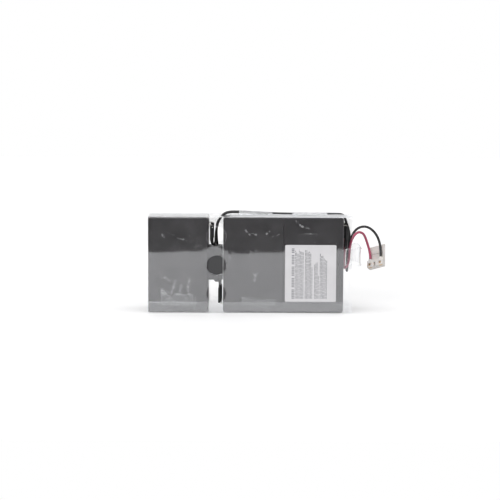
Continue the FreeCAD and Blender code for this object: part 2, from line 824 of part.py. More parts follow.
# The plug, in its own frame: Z along the wires, -Y to the side they lie on
def plug_placement():
    base = FreeCAD.Vector(value("sleeve_end + plug_past_end"), value("plug_back"), value("plug_rise"))
    turn = FreeCAD.Rotation(value("plug_yaw"), value("plug_tilt"), value("plug_lean"))
    return FreeCAD.Placement(base, turn)


def pole_middles():
    for side in ("-0.5", "0.5"):
        yield (f"{side} * plug_pole_spacing", "-plug_wire_depth")


def make_connector_housing():
    """Two-way housing: a back plate, a contact block in front of it and a collar round each wire."""
    body = new_body("connector_housing")
    plate = new_sketch(body, "XY_Plane")
    rectangle(plate, ("0", "plug_plate / 2"), "plug_width", "plug_plate")
    pad(body, plate, "plug_height")
    block = new_sketch(body, "XY_Plane")
    rectangle(block, ("0", "(plug_plate - plug_block_depth) / 2"), "plug_width", "plug_block_depth + plug_plate")
    pad(body, block, "plug_block_height")
    round_edges(body, "plug_corner", lambda edge: runs_along(edge, Z_AXIS)
                and abs(edge.Vertexes[0].Point.y) > 1e-6)
    rib = new_sketch(body, "XZ_Plane")
    rectangle(rib, ("0", "plug_rib_rise"), "plug_rib_width", "plug_rib_height")
    pad(body, rib, "plug_rib_depth")
    collars = new_sketch(body, "XY_Plane", "plug_block_height")
    for middle in pole_middles():
        circle(collars, middle, "plug_collar_diameter")
    pad(body, collars, "plug_collar_height")
    bores = new_sketch(body, "XY_Plane", "plug_wire_end - contact_clearance")
    for middle in pole_middles():
        circle(bores, middle, "cable_diameter + 2 * plug_wire_clearance")
    pocket(body, bores, "plug_mouth", backwards=True)
    cavities = new_sketch(body, "XY_Plane", "plug_wire_end")
    for middle in pole_middles():
        rectangle(cavities, middle, "contact_width + 2 * contact_clearance",
                  "contact_thickness + 2 * contact_clearance")
    pocket(body, cavities, "plug_wire_end + contact_setback")
    windows = new_sketch(body, "XZ_Plane", "plug_wire_depth")
    for across, depth in pole_middles():
        rectangle(windows, (across, "plug_wire_end / 2"), "plug_window_width", "plug_window_height")
    pocket(body, windows, "plug_block_depth", backwards=True)
    key = new_sketch(body, "XZ_Plane", "plug_block_depth - plug_key_depth")
    rectangle(key, ("0", "0"), "plug_key_width", "2 * plug_key_height")
    pocket(body, key, "2 * plug_key_depth", backwards=True)
    body.Placement = plug_placement()


def make_connector_contacts():
    body = new_body("connector_contacts", separate_solids=True)
    section = new_sketch(body, "XY_Plane", "contact_setback")
    for middle in pole_middles():
        rectangle(section, middle, "contact_width", "contact_thickness")
    pad(body, section, "contact_length")
    body.Placement = plug_placement()


# Wiring: straight runs joined by tangent arcs, as large as the shorter run allows
def terminal_point(block, side, along):
    """Place on a terminal's wire axis, a distance along the block from its middle."""
    piece = doc.getObject(f"{block}_lid")
    local = FreeCAD.Vector(value(along), side * value("terminal_spread"), value("blade_height"))
    return piece.Placement.multVec(local)


def plug_point(side, rise):
    local = FreeCAD.Vector(side * value("plug_pole_spacing"), -value("plug_wire_depth"), value(rise))
    return plug_placement().multVec(local)


def make_cable(label, route):
    points = [FreeCAD.Vector(*point) for point in route]
    half = value("cable_diameter") / 2
    ring = Part.makeCircle(half, points[0], points[1] - points[0])
    walls = []
    radii = []
    length = 0
    position = points[0]
    caps = [Part.Face(Part.Wire(ring))]
    for before, corner, after in zip(points, points[1:], points[2:]):
        arriving, leaving = corner - before, after - corner
        reach = ARC_SHARE * min(arriving.Length, leaving.Length)
        turn = arriving.getAngle(leaving)
        arriving.normalize()
        leaving.normalize()
        radius = reach / math.tan(turn / 2)
        inward = (leaving - arriving).normalize()
        centre = corner + inward * (radius / math.cos(turn / 2))
        straight = corner - arriving * reach - position
        walls.append(ring.extrude(straight))
        ring = ring.translated(straight)
        axis = arriving.cross(leaving)
        walls.append(ring.revolve(centre, axis, math.degrees(turn)))
        ring = ring.rotated(centre, axis, math.degrees(turn))
        position = corner + leaving * reach
        radii.append(radius)
        length += straight.Length + radius * turn
    last = points[-1] - position
    walls.append(ring.extrude(last))
    caps.append(Part.Face(Part.Wire(ring.translated(last))))
    length += last.Length
    shell = Part.Shell(walls + caps)
    shell.sewShape()
    shape = Part.Solid(shell)
    expected = math.pi * half * half * length
    if abs(shape.Volume - expected) > 0.01 * expected:
        raise RuntimeError(f"{label}: volume {shape.Volume:.1f} for an expected {expected:.1f}")
    print(f"{label}: length {length:.0f}, radii", " ".join(f"{radius:.1f}" for radius in radii))
    solid_feature(label, shape)


def make_wiring():
    level = value("cable_level")
    raised = level + value("cable_arch")
    pair = value("cable_spacing") / 2
    gap = value("gap_middle")
    face = value("right_face")
    end = value("sleeve_end")
    top = value("sleeve_top")
    front = -value("terminal_spread") / 2
    spacer_low = value("spacer_rise - spacer_height / 2")
    spacer_high = value("spacer_rise + spacer_height / 2")
    spacer_back = value("spacer_depth - block_width / 2")
    near_end = value("middle_face + near_tape_margin")
    rest = near_end + value("cable_tape_width")
    left_drop = terminal_point("left", 0.5, "boot_front - boot_length")
    turn_level = spacer_high + value("cable_diameter") / 2 + 1
    make_cable("negative_lead", [
        terminal_point("left", 0.5, "wire_start"),
        (left_drop.x, front, turn_level),
        (left_drop.x + 8, front, turn_level),
        (gap + 1.2, front + 7, top - 24),
        (gap + 3, front + 15, top - 6),
        (gap + 14, -pair - 0.7, top + 6.3),
        (near_end, -pair, raised),
        (rest + 5, -pair, level),
        (face + 2.8, -pair, level),
        (face + 10.7, -pair, top - 6),
        (face + 10.1, -pair, top - 36),
        (face + 5.7, -pair + 0.3, top - 60),
        (face + 4.2, -pair + 0.5, top - 86),
        (face + 4.2, pair + 5, top - 86),
        (face + 5.3, pair + 5.3, top - 68),
        (face + 9.3, pair + 5.2, top - 52),
        (end - 1, pair + 4.5, top - 39),
        (end + 5, pair + 5, top - 25),
        (end + 15.5, pair + 9, top - 18.7),
        (end + 28.5, pair + 14, top - 20),
        (end + 40.5, pair + 16.5, top - 31),
        (end + 46.5, pair + 14.5, top - 45),
        plug_point(0.5, "plug_mouth + 2.5 * cable_diameter"),
        plug_point(0.5, "plug_wire_end"),
    ])
    upper = terminal_point("left", -0.5, "wire_start")
    lower = terminal_point("middle", 0.5, "wire_start")
    make_cable("left_jumper", [
        upper,
        (upper.x, upper.y, upper.z - 22),
        (upper.x + 0.8, upper.y - 2, upper.z - 44),
        (upper.x + 1.8, spacer_back + 8, spacer_low + 8),
        (upper.x + 4.5, spacer_back + 1.5, spacer_low - 6.5),
        (lower.x - 5, front + 15, spacer_low - 5.5),
        (lower.x, lower.y, spacer_low - 7),
        lower,
    ])
    riser = terminal_point("middle", -0.5, "wire_start")
    bay = terminal_point("right", 0.5, "wire_start")
    make_cable("right_jumper", [
        riser,
        (riser.x, riser.y, riser.z + 27),
        (gap + 3, riser.y - 1, riser.z + 58),
        (gap - 0.2, riser.y - 6, top - 34),
        (gap + 0.8, riser.y - 13, top - 14),
        (gap + 8.5, pair + 1.8, top - 1),
        (gap + 20, pair + 0.3, top + 6),
        (near_end + 1, pair, raised),
        (rest + 5, pair, level),
        (face + 4.2, pair, level),
        (face + 3.7, pair - 5, top - 16),
        (face + 3.3, front + 12.5, top - 34),
        (face + 3.8, front + 10, bay.z - 21),
        (bay.x, bay.y, bay.z - 21),
        bay,
    ])
    back = terminal_point("right", -0.5, "wire_start")
    make_cable("positive_lead", [
        back,
        (back.x, back.y, back.z - 22),
        (back.x + 1.6, back.y - 2, back.z - 40),
        (back.x + 4.4, back.y - 11, back.z - 47.5),
        (back.x + 5.8, back.y - 23, back.z - 47.5),
        (back.x + 6, back.y - 30.5, back.z - 40),
        (back.x + 6, back.y - 31, back.z - 22),
        (end - 1, back.y - 30, back.z - 10),
        (end + 4.5, back.y - 25, back.z + 2),
        (end + 12, back.y - 15, back.z + 5.5),
        (end + 20.5, back.y - 5, back.z + 1.5),
        (end + 26, back.y + 1, back.z - 11.5),
        plug_point(-0.5, "plug_mouth + 2.5 * cable_diameter"),
        plug_point(-0.5, "plug_wire_end"),
    ])


def make_blocks():
    make_container()
    make_plate_stacks()
    make_cell_straps()
    make_lid()
    make_vent_cover()
    make_valve_caps()
    make_tab()
    make_receptacle()
    make_boot()


def make_pack():
    make_sleeve()
    make_spacer()
    make_label()
    make_flap_tape("left_flap_tape", "left_base + left_tape_margin", "left_tape_width", "left_tape_height")
    make_flap_tape("middle_flap_tape", "middle_face + middle_tape_margin", "middle_tape_width",
                   "middle_tape_height")
    make_cable_tape("near_cable_tape", "middle_face + near_tape_margin", "cable_arch", "cable_arch_end")
    make_cable_tape("far_cable_tape", "right_base + far_tape_margin", "0", "0")
    make_pull_strap()
    make_connector_housing()
    make_connector_contacts()


def check_and_write():
    doc.recompute()
    for item in doc.Objects:
        if "Invalid" in item.State or "Error" in item.State:
            raise RuntimeError(f"{item.Name} failed: {item.State}")
    for piece in subparts:
        if piece.Shape.isNull() or not piece.Shape.isValid():
            raise RuntimeError(f"{piece.Label} has no valid shape")
    os.makedirs("parts", exist_ok=True)
    for piece in subparts:
        piece.Shape.exportStep(f"parts/{piece.Label}.step")


make_blocks()
make_pack()
doc.recompute()
make_wiring()
check_and_write()
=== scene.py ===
import json
import math
import random

import bmesh
import bpy
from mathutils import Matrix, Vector, noise


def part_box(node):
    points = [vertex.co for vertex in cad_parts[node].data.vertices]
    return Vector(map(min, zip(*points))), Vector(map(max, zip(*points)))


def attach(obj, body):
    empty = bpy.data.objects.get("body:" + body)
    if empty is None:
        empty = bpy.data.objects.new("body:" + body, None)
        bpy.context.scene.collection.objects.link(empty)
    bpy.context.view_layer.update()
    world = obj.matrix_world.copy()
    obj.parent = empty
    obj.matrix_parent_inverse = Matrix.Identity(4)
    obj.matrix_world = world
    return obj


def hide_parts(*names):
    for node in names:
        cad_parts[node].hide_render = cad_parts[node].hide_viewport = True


# Looks of a battery pack: black sealed blocks in a folded clear sleeve, with tapes, label, cables and plug.
# Everything is in metres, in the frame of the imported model, unless it says mm.

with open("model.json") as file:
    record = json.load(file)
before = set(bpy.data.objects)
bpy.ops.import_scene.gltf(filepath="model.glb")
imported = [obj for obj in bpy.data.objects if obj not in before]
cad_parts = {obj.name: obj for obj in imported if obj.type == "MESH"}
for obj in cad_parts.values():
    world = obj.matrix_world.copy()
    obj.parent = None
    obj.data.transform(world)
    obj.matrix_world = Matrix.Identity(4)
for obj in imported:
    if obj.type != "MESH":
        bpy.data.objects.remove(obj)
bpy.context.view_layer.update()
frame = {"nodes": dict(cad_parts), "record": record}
nodes = frame["nodes"]

MM = 0.001
BODY = "root"
# Name of the points' whitening on clear sheets, and how white their cut edges are
WEAR = "wear"
EDGE_WEAR = 0.08
MERGE_DISTANCE = 0.15 * MM
TINY = 1e-9
LABEL_LOW, LABEL_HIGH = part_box("rating_label")

# Sleeve, as folded from one sheet: its corners across the row in mm, from the flap's edge round to the
# front panel's edge
SLEEVE_END = 161.5 * MM
SLEEVE_CORNERS = ((-33.6, 17.4), (-33.6, 0.25), (32.95, 0.25), (32.95, 151.95), (-32.95, 151.95),
                  (-32.95, 1.5))
SLEEVE_PANELS = ("flap", "bottom", "back", "top", "front")
FILM_THICKNESS = 0.5 * MM
FOLD_RADIUS = 1.15 * MM
FOLD_STEPS = 4
FINE_STEP = 1.6 * MM
COARSE_STEP = 3.2 * MM
GAP_MIDDLE = -52.8 * MM
WINDOW_RADIUS = 15.3 * MM
WINDOW_RISES = (31.0 * MM, 76.0 * MM, 121.0 * MM)
TOP_NOTCH = (24.5 * MM, 15.0 * MM)
BACK_NOTCH = (18.5 * MM, 38.0 * MM)
BACK_NOTCH_RISE = 90.0 * MM
NOTCH_CORNER = 6.0 * MM
# Outer faces of the film, and the flap's free edge
FLAP_EDGE = 17.4 * MM
FLAP_FACE = 33.85 * MM
FRONT_FACE = 33.2 * MM
SLEEVE_TOP = 152.2 * MM

# Ripples of the sheet: height and how many to the metre
SHEET_RIPPLE = 0.03 * MM
SHEET_RIPPLES = 25.0
FRONT_RIPPLE = 0.012 * MM
FRONT_RIPPLES = 45.0
# Where the front panel leans: middle and half width in mm, and slope
PANEL_LEANS = ((-56, 12, 0.0052), (-87, 18, -0.0017), (-116, 16, -0.0012), (-145, 25, -0.004),
               (-14, 18, -0.0052), (12, 18, -0.0034), (45, 22, -0.0026), (142, 12, 0.002))
LEAN_MIDDLE = 100.0 * MM
LEAN_REACH = 40.0 * MM
# Curl of the front panel's free end past the last block
CURL = -0.03
CURL_RUN = (147.5 * MM, 157.0 * MM)
CURL_MIDDLE = 85.0 * MM
CURL_REACH = 60.0 * MM
# The front panel is flat under the label and the flap, and free from these distances and heights on
LABEL_HOLD = 3.0 * MM
FLAP_HOLD = 24.0 * MM
# Creases and small dents of the front panel: how high they are, how each is broken up along its length,
# how many half widths it reaches, and their ends, strength and half width in mm
CREASE_HEIGHT = 0.13 * MM
CREASE_MEAN = 0.65
CREASE_SPREAD = 0.9
CREASE_BREAKS = 330.0
CREASE_REACH = 3.0
CREASES = (
    (-146, 136, -122, 145, 0.3, 2.6), (-141, 126, -134, 119.5, 0.6, 1.3), (-138, 124, -133, 124, 0.4, 1.2),
    (-128, 127, -119, 123, 0.35, 1.4), (-115, 119, -103, 118, 0.25, 1.0), (-96, 127, -94, 121, 0.4, 1.2),
    (-113.6, 119.1, -113, 119, 0.6, 1.1), (-109.7, 118.2, -109, 118.2, 0.6, 1.1),
    (-106.6, 117.8, -106, 117.8, 0.6, 1.1), (-103.3, 118.2, -102.8, 118.2, 0.6, 1.1),
    (-155, 128, -151, 127, 0.4, 1.1), (-88, 106, -74, 110, 0.15, 1.6),
    (-139, 55, -133, 55.5, 0.22, 1.4), (-133, 55.5, -126.5, 51.4, 0.22, 1.4),
    (-117, 50, -120.4, 39.8, 0.34, 1.5), (-120.4, 39.8, -124, 29, 0.34, 1.4),
    (-107.8, 44.5, -109.5, 33.7, 0.42, 1.4), (-93.9, 54.5, -97.5, 40.9, 0.34, 1.5),
    (-97.5, 40.9, -96.9, 34, 0.3, 1.4), (-132, 36, -126, 29, 0.25, 1.4),
    (-7.4, 132, -5, 129, 1.2, 1.2), (-2, 125.8, 9, 125.4, 0.4, 1.1), (-1.1, 125.6, -0.6, 125.6, 1.1, 1.1),
    (1.9, 126.7, 2.4, 126.7, 1.1, 1.1), (5, 126.7, 5.5, 126.7, 1.1, 1.1), (8.6, 124.8, 9.1, 124.8, 1.1, 1.1),
    (25.8, 126.7, 26.6, 127.1, 1.5, 1.3), (30.2, 129.4, 30.8, 129.9, 1.3, 1.1),
    (24, 137.5, 24.6, 137, 1.2, 1.1), (36, 122, 46, 125, 0.6, 1.3), (-32, 94, -30, 87, 0.4, 1.3),
    (5, 64, 8.3, 59.6, 0.55, 1.2), (8.3, 59.6, 7.5, 51, 0.6, 1.2), (12, 63.5, 9, 60, 0.45, 1.1),
    (1, 99, -1, 91, 0.35, 1.6), (9.6, 103, 8.3, 92, 0.35, 1.6),
    (72, 146, 80, 139, 0.9, 1.7), (80, 139, 92, 135, 0.9, 1.6), (82, 148, 116, 147, 0.4, 1.0),
    (71, 126.6, 106, 126.6, 0.35, 1.8), (88, 126.6, 102, 127, 0.3, 1.2),
)

# The top panel where the cables lie on it: where they come up and go down, and how the film sags under them
CABLES_UP = (-45.0 * MM, -25.0 * MM)
CABLES_DOWN = (136.0 * MM, 158.0 * MM)
CABLE_SAG = 0.2 * MM
CABLE_SAG_REACH = 6.0 * MM
# Bulge of the top panel in front of the cables: its height along the row in mm, where it is, how uneven
# and how white
LIP_HEIGHTS = ((-45, 0), (-25, 2), (26, 2.2), (42, 3.5), (68, 3.2), (118, 3.2), (130, 3.6), (150, 3.2),
               (161.5, 0.5))
LIP_MIDDLE = -16.0 * MM
LIP_REACH = 7.0 * MM
LIP_MEAN = 0.85
LIP_SPREAD = 0.35
LIP_WAVES = 22.0
LIP_WEAR = 1.0

# Tapes over the flap: their top edges along the row in mm, where they start, the run in which they come
# down from the flap to the front panel, their wrinkles and their ragged tops
LEFT_TAPE_TOP = ((-140.4, 39), (-136.8, 38.8), (-131, 31), (-123.5, 25), (-117, 31.8), (-108.4, 31.2),
                 (-102.4, 28.6), (-95.2, 31.8), (-84.2, 26.5))
MIDDLE_TAPE_TOP = ((-13.2, 25.4), (4.5, 25.6), (8.5, 22.8), (20, 21.6), (36, 21.8), (41, 22))
TAPE_THICKNESS = 0.12 * MM
TAPE_FOOT = 12.0 * MM
TAPE_BRIDGE = 11.0 * MM
TAPE_STEP = 0.9 * MM
TAPE_WRINKLE = 0.2 * MM
TAPE_WRINKLES = (160.0, 60.0)
WRINKLED_FROM = 30.0 * MM
TAPE_RAGGED = 0.5 * MM
TAPE_RAGS = 300.0
# Tapes over the cables: where each starts and ends in mm and how worn it is, how far it lies over the cables,
# dips between them and crinkles, where its sides begin and end their fall, how much further they reach
# where the cables are higher, how much less they crinkle, and how far over the film they lie
CABLE_TAPES = {"near_cable_tape": (-18.0, 36.0, 0.0), "far_cable_tape": (66.8, 122.5, 0.35)}
CABLE_TAPE_HALF = 19.0 * MM
CABLE_TAPE_STEPS = (1.0 * MM, 0.8 * MM)
CABLE_TAPE_REACH = (-45.0 * MM, 145.0 * MM)
TAPE_OVER_CABLE = 0.3 * MM
TAPE_DIP = 0.3 * MM
TAPE_DIP_REACH = 1.6 * MM
TAPE_CRINKLE = 0.2 * MM
TAPE_CRINKLES = (70.0, 40.0)
TAPE_FALL = (3.2 * MM, 4.8 * MM)
TAPE_SLACK = 0.9
TAPE_CALM = 0.7
TAPE_SEAT = 1.5 * TAPE_THICKNESS

# Foam spacer: how far its free side stands out at the front, less towards the back and at its top, how
# near the top that starts, its unevenness, how far its other sides stand back, and its cut edges
SPACER_CUTS = (12, 20, 26)
SPACER_SWELL = 0.15 * MM
SPACER_TAPER = 0.3 * MM
SPACER_TOP = 0.9 * MM
SPACER_TOP_POWER = 9
SPACER_UNEVEN = 0.12 * MM
SPACER_LUMPS = 9.0
SPACER_INSET = 0.1 * MM
SPACER_EDGE = 0.6 * MM

# Handle loop at the plug end: its route seen from above in mm, its band, the part of its length that is free,
# how far it cups, drops and flares, and how white its edges and its free end are
STRAP_ROUTE = ((149.5, -33.45), (162, -33.45), (171.5, -31), (177.5, -12), (177.5, 12), (171.5, 31),
               (162, 33.45), (129, 33.45))
STRAP_BAND = (77.5 * MM, 102.5 * MM)
STRAP_STEP = 2.5 * MM
STRAP_THICKNESS = 0.5 * MM
STRAP_FREE = (0.2, 0.8)
STRAP_CUP = 1.5 * MM
STRAP_DROP = 2.5 * MM
STRAP_FLARE = 6.0 * MM
STRAP_WEAR = 0.45
STRAP_END_WEAR = 0.35

# Print on the label, as columns of bars read upwards, in mm: where each starts and ends from the label's
# left, its lines, the bare paper above them, how much more each next line leaves bare, and its raggedness
PRINT_COLUMNS = ((15.6, 29.8, 7, 5.5, 0.0, 8.0), (31.4, 41.8, 5, 5.5, 0.6, 6.0),
                 (41.8, 43.8, 1, 35.0, 0.0, 1.0), (46.0, 51.8, 3, 30.0, -1.5, 3.0),
                 (51.8, 53.8, 1, 47.0, 0.0, 1.0), (54.8, 66.8, 6, 12.0, 2.4, 3.0))
PRINT_SEED = 11
PRINT_MARGIN = 5.0 * MM
PRINT_FINE = 0.55
PRINT_THICKNESS = 0.03 * MM
BAR_LENGTHS = (1.6, 6.5)
BAR_GAPS = (0.8, 1.2)
# The heading beside them, in groups of wide blocks
PRINT_HEADING = (10.4, 14.6)
HEADING_BLOCK = 1.7 * MM
HEADING_GAP = 0.9 * MM
HEADING_GROUP = 7

# Cables, with the control points of their routes in mm
CABLE_DIAMETER = 4.0 * MM
CABLE_ROUNDNESS = 6
CABLE_STEPS = 12
NEGATIVE_LEAD = (
    (-60.3, -21, 122), (-60.3, -21, 115.4), (-60.3, -21, 110.4), (-58.6, -17.9, 106.9), (-56.2, -13.6, 106.9),
    (-54.5, -10.5, 110.4), (-54.5, -10.5, 115.4), (-53.6, -9, 129), (-49.8, -6, 145.3), (-38.6, -3.5, 157.3),
    (-14, -2.75, 157.2), (41, -2.75, 154.1), (122, -2.75, 154.1), (136, -2.9, 154.1), (143.2, -3.2, 154),
    (148.5, -3.6, 152.4), (150.8, -4, 147), (152.6, -4.2, 141.5), (155.8, -4.3, 132.5), (158, -4.2, 122.5),
    (157.8, -4.1, 113), (156.2, -4, 103), (155, -4, 93), (154.8, -4, 82), (154.8, -4, 72), (154.8, -4, 67),
    (154.8, -0.5, 63.5), (154.8, 4.5, 63.5), (154.8, 8, 67), (154.8, 8, 72), (155.2, 8.05, 84.2),
    (157.2, 7.95, 99), (160.5, 7.25, 113.2), (166.5, 7.75, 127.2), (177, 11.75, 133.5), (190, 16.75, 132.2),
    (202, 19.25, 121.2), (208, 17.25, 107.2), (209.2, 10.1, 92.5), (208.4, 0.6, 80.3),
)
POSITIVE_LEAD = (
    (152.5, 21, 120), (152.5, 21, 109), (152.3, 20.8, 97), (151.4, 19.6, 84), (150.6, 15, 74),
    (150.3, 6, 69.6), (150.3, -3, 68.8), (151.2, -8, 69.4), (153.6, -10.2, 72), (156, -10.4, 77.5),
    (157.2, -10.3, 86), (157.6, -10.1, 96), (158.6, -9.6, 106), (161.5, -7.8, 115), (166.5, -3.5, 122.5),
    (173.5, 6, 125.5), (182, 16, 121.5), (187.5, 22, 108.5), (193.6, 18.4, 87.1), (192.8, 8.9, 74.9),
)
LEFT_JUMPER = (
    (-60.3, 21, 120), (-60.3, 21, 98), (-59.5, 19, 76), (-58.5, 15.5, 60.5), (-55.8, 9, 46),
    (-52.4, -5, 47.2), (-49.2, -14, 49), (-47.6, -19.2, 48.2), (-47.2, -21, 43), (-47.2, -21, 32),
)
RIGHT_JUMPER = (
    (-47.2, 21, 32), (-47.2, 21, 59), (-50.75, 20, 90), (-53.95, 15, 118.2), (-52.95, 8, 138.2),
    (-46.2, 4.9, 148.8), (-37.6, 3.2, 157.2), (-13, 2.75, 157.2), (41, 2.75, 154.1),
    (122, 2.75, 154.1), (136, 2.7, 154.1), (143.2, 2.6, 154), (148.5, 2.4, 152.4), (150.8, 2.2, 147),
    (152.8, 2, 141), (154.6, 1.2, 134), (154.2, -0.8, 126), (152.4, -4.6, 118.5), (151.2, -9.4, 112.5),
    (151.1, -10.6, 108.5), (151.1, -10.6, 104.7), (151.6, -13.65, 101.6), (152.1, -17.95, 101.6),
    (152.5, -21, 104.7), (152.5, -21, 109), (152.5, -21, 120),
)

# Camera, with its angles in degrees and its lens in mm, and table
CAMERA_DISTANCE = 2.4
CAMERA_SIDE = -0.0013
CAMERA_HEIGHT = 0.39
CAMERA_PITCH = 6.885
CAMERA_ROLL = -0.27
FOCAL_LENGTH = 110.9
SENSOR_WIDTH = 36.0
TABLE_FRONT = -0.86
TABLE_BACK = 4.0
TABLE_HALF_WIDTH = 3.0
# Where the table's glow starts and stops to grow, and how strong it is there
TABLE_GLOW = (0.3, 1.8, 0.15, 0.5)
# Grey levels of the room in mirrors, in front and behind, and of its light, and the parts of a direction
# backwards and upwards over which the front turns to the back
ROOM_FRONT = 0.04
ROOM_BACK = 0.95
ROOM_LIGHT = 0.55
ROOM_BEHIND = (-0.15, 0.25)
ROOM_ABOVE = (0.35, 0.9)
# Softboxes, with the place, size and power of each, and what they aim at
SOFTBOXES = {"overhead_softbox": ((0.0, -0.2, 1.6), (2.0, 1.4), 14.0),
             "front_softbox": ((-0.7, -1.9, 1.3), (1.2, 1.0), 16.0)}
SOFTBOX_AIM = (0.0, 0.0, 0.08)


# Node helpers
def join(tree, socket, source):
    """Set a socket to a value, or link it to another node's output."""
    if isinstance(source, bpy.types.NodeSocket):
        tree.links.new(source, socket)
    else:
        socket.default_value = source


def add(tree, kind, sockets=None, **settings):
    """New node with its settings, and its inputs given by name or number."""
    node = tree.nodes.new(kind)
    for name, setting in settings.items():
        setattr(node, name, setting)
    for name, source in (sockets or {}).items():
        join(tree, node.inputs[name], source)
    return node


def reckon(tree, operation, first, second=0.0):
    node = add(tree, "ShaderNodeMath", {0: first, 1: second}, operation=operation)
    return node.outputs[0]


def between(tree, factor, first, second):
    """Colour that goes from the first to the second with the factor."""
    node = add(tree, "ShaderNodeMix", {0: factor, 6: first, 7: second}, data_type="RGBA")
    return node.outputs[2]


def ranged(tree, source, low, high, new_low=0.0, new_high=1.0):
    node = add(tree, "ShaderNodeMapRange", {0: source, 1: low, 2: high, 3: new_low, 4: new_high})
    return node.outputs[0]


def grey(level):
    return (level, level, level, 1.0)


def new_group(name, inputs, outputs):
    group = bpy.data.node_groups.new(name, "ShaderNodeTree")
    for label, default in inputs.items():
        socket = group.interface.new_socket(label, in_out="INPUT", socket_type="NodeSocketFloat")
        socket.default_value = default
    for label in outputs:
        group.interface.new_socket(label, in_out="OUTPUT", socket_type="NodeSocketFloat")
    return group, group.nodes.new("NodeGroupInput"), group.nodes.new("NodeGroupOutput")


def use_group(tree, group, **values):
    node = tree.nodes.new("ShaderNodeGroup")
    node.node_tree = group
    for name, source in values.items():
        join(tree, node.inputs[name], source)
    return node


# Effects that several finishes share
def surface_grain_group():
    """Fine height of a moulded or drawn surface, and broad patches of tone."""
    group, entry, leave = new_group("surface_grain", {"Fine": 2000.0, "Broad": 25.0}, ("Height", "Tone"))
    place = add(group, "ShaderNodeTexCoord").outputs["Object"]
    sizes = entry.outputs
    fine = add(group, "ShaderNodeTexNoise", {"Vector": place, "Scale": sizes["Fine"], "Detail": 2.0})
    broad = add(group, "ShaderNodeTexNoise", {"Vector": place, "Scale": sizes["Broad"], "Detail": 4.0})
    join(group, leave.inputs["Height"], fine.outputs[0])
    join(group, leave.inputs["Tone"], ranged(group, broad.outputs[0], 0.3, 0.7))
    return group


def scuff_group():
    """Mask of thin scratches in two directions, gathered in worn patches."""
    group, entry, leave = new_group("scuffs", {"Scale": 60.0, "Amount": 0.5}, ("Mask",))
    place = add(group, "ShaderNodeTexCoord").outputs["Object"]
    lines = []
    for turn, stretch in ((0.5, (1.0, 1.0, 14.0)), (-0.9, (12.0, 1.0, 1.0))):
        mapped = add(group, "ShaderNodeMapping",
                     {"Vector": place, "Rotation": (0.2, turn, 0.1), "Scale": stretch})
        scratch = add(group, "ShaderNodeTexNoise",
                      {"Vector": mapped.outputs[0], "Scale": entry.outputs["Scale"], "Detail": 3.0})
        lines.append(ranged(group, scratch.outputs[0], 0.62, 0.72))
    patches = add(group, "ShaderNodeTexNoise", {"Vector": place, "Scale": 22.0, "Detail": 2.0})
    worn = ranged(group, patches.outputs[0], 0.5, 0.7)
    both = reckon(group, "MAXIMUM", *lines)
    join(group, leave.inputs["Mask"],
         reckon(group, "MULTIPLY", reckon(group, "MULTIPLY", both, worn), entry.outputs["Amount"]))
    return group


SURFACE_GRAIN = surface_grain_group()
SCUFFS = scuff_group()


def new_material(name):
    material = bpy.data.materials.new(name)
    material.use_nodes = True
    tree = material.node_tree
    return material, tree, tree.nodes["Principled BSDF"]


def bump(tree, height, strength, distance):
    node = add(tree, "ShaderNodeBump", {"Height": height, "Strength": strength, "Distance": distance})
    return node.outputs["Normal"]


def grained_finish(name, dark, light, roughness, grain, broad=25.0, strength=0.2, scuffs=0.0, specular=0.5):
    """Solid finish whose tone and roughness vary in patches, over a fine grain."""
    material, tree, shader = new_material(name)
    surface = use_group(tree, SURFACE_GRAIN, Fine=grain, Broad=broad)
    tone = surface.outputs["Tone"]
    colour = between(tree, tone, (*dark, 1.0), (*light, 1.0))
    low, high = roughness
    rough = ranged(tree, tone, 0.0, 1.0, low, high)
    if scuffs:
        worn = use_group(tree, SCUFFS, Amount=scuffs).outputs["Mask"]
        pale = tuple(min(1.0, 2.2 * channel + 0.03) for channel in light)
        colour = between(tree, worn, colour, (*pale, 1.0))
        rough = reckon(tree, "ADD", rough, reckon(tree, "MULTIPLY", worn, 0.25))
    join(tree, shader.inputs["Base Color"], colour)
    join(tree, shader.inputs["Roughness"], rough)
    join(tree, shader.inputs["Normal"], bump(tree, surface.outputs["Height"], strength, 0.1 * MM))
    shader.inputs["Specular IOR Level"].default_value = specular
    return material, tree, shader


def metal_finish(name, dark, light, roughness, grain):
    material, _, shader = grained_finish(name, dark, light, roughness, grain, broad=120.0, strength=0.1)
    shader.inputs["Metallic"].default_value = 1.0
    return material


def clear_finish(name, head_on, haze, roughness, wear, ripple):
    """Thin clear plastic: it lets light straight through and mirrors more of it towards grazing angles.

    It mirrors head_on of the light from straight in front, and is hazy, rough, worn and rippled as given.
    """
    material, tree, shader = new_material(name)
    facing = add(tree, "ShaderNodeLayerWeight", {"Blend": 0.5}).outputs["Facing"]
    grazing = reckon(tree, "POWER", facing, 5.0)
    mirror = ranged(tree, grazing, 0.0, 1.0, head_on, 1.0)
    scuffed = use_group(tree, SCUFFS, Amount=wear).outputs["Mask"]
    creased = add(tree, "ShaderNodeAttribute", attribute_name=WEAR).outputs["Fac"]
    worn = reckon(tree, "MAXIMUM", scuffed, creased)
    surface = use_group(tree, SURFACE_GRAIN, Fine=220.0, Broad=30.0)
    cloud = ranged(tree, surface.outputs["Tone"], 0.0, 1.0, 0.6 * haze, 1.4 * haze)
    alpha = reckon(tree, "ADD", reckon(tree, "ADD", mirror, cloud), reckon(tree, "MULTIPLY", worn, 0.3))
    join(tree, shader.inputs["Alpha"], reckon(tree, "MINIMUM", alpha, 1.0))
    rough = reckon(tree, "ADD", roughness, reckon(tree, "MULTIPLY", worn, 0.3))
    join(tree, shader.inputs["Roughness"], rough)
    join(tree, shader.inputs["Normal"], bump(tree, surface.outputs["Height"], ripple, 0.1 * MM))
    shader.inputs["Base Color"].default_value = (0.93, 0.94, 0.96, 1.0)
    shader.inputs["Metallic"].default_value = 1.0
    return material


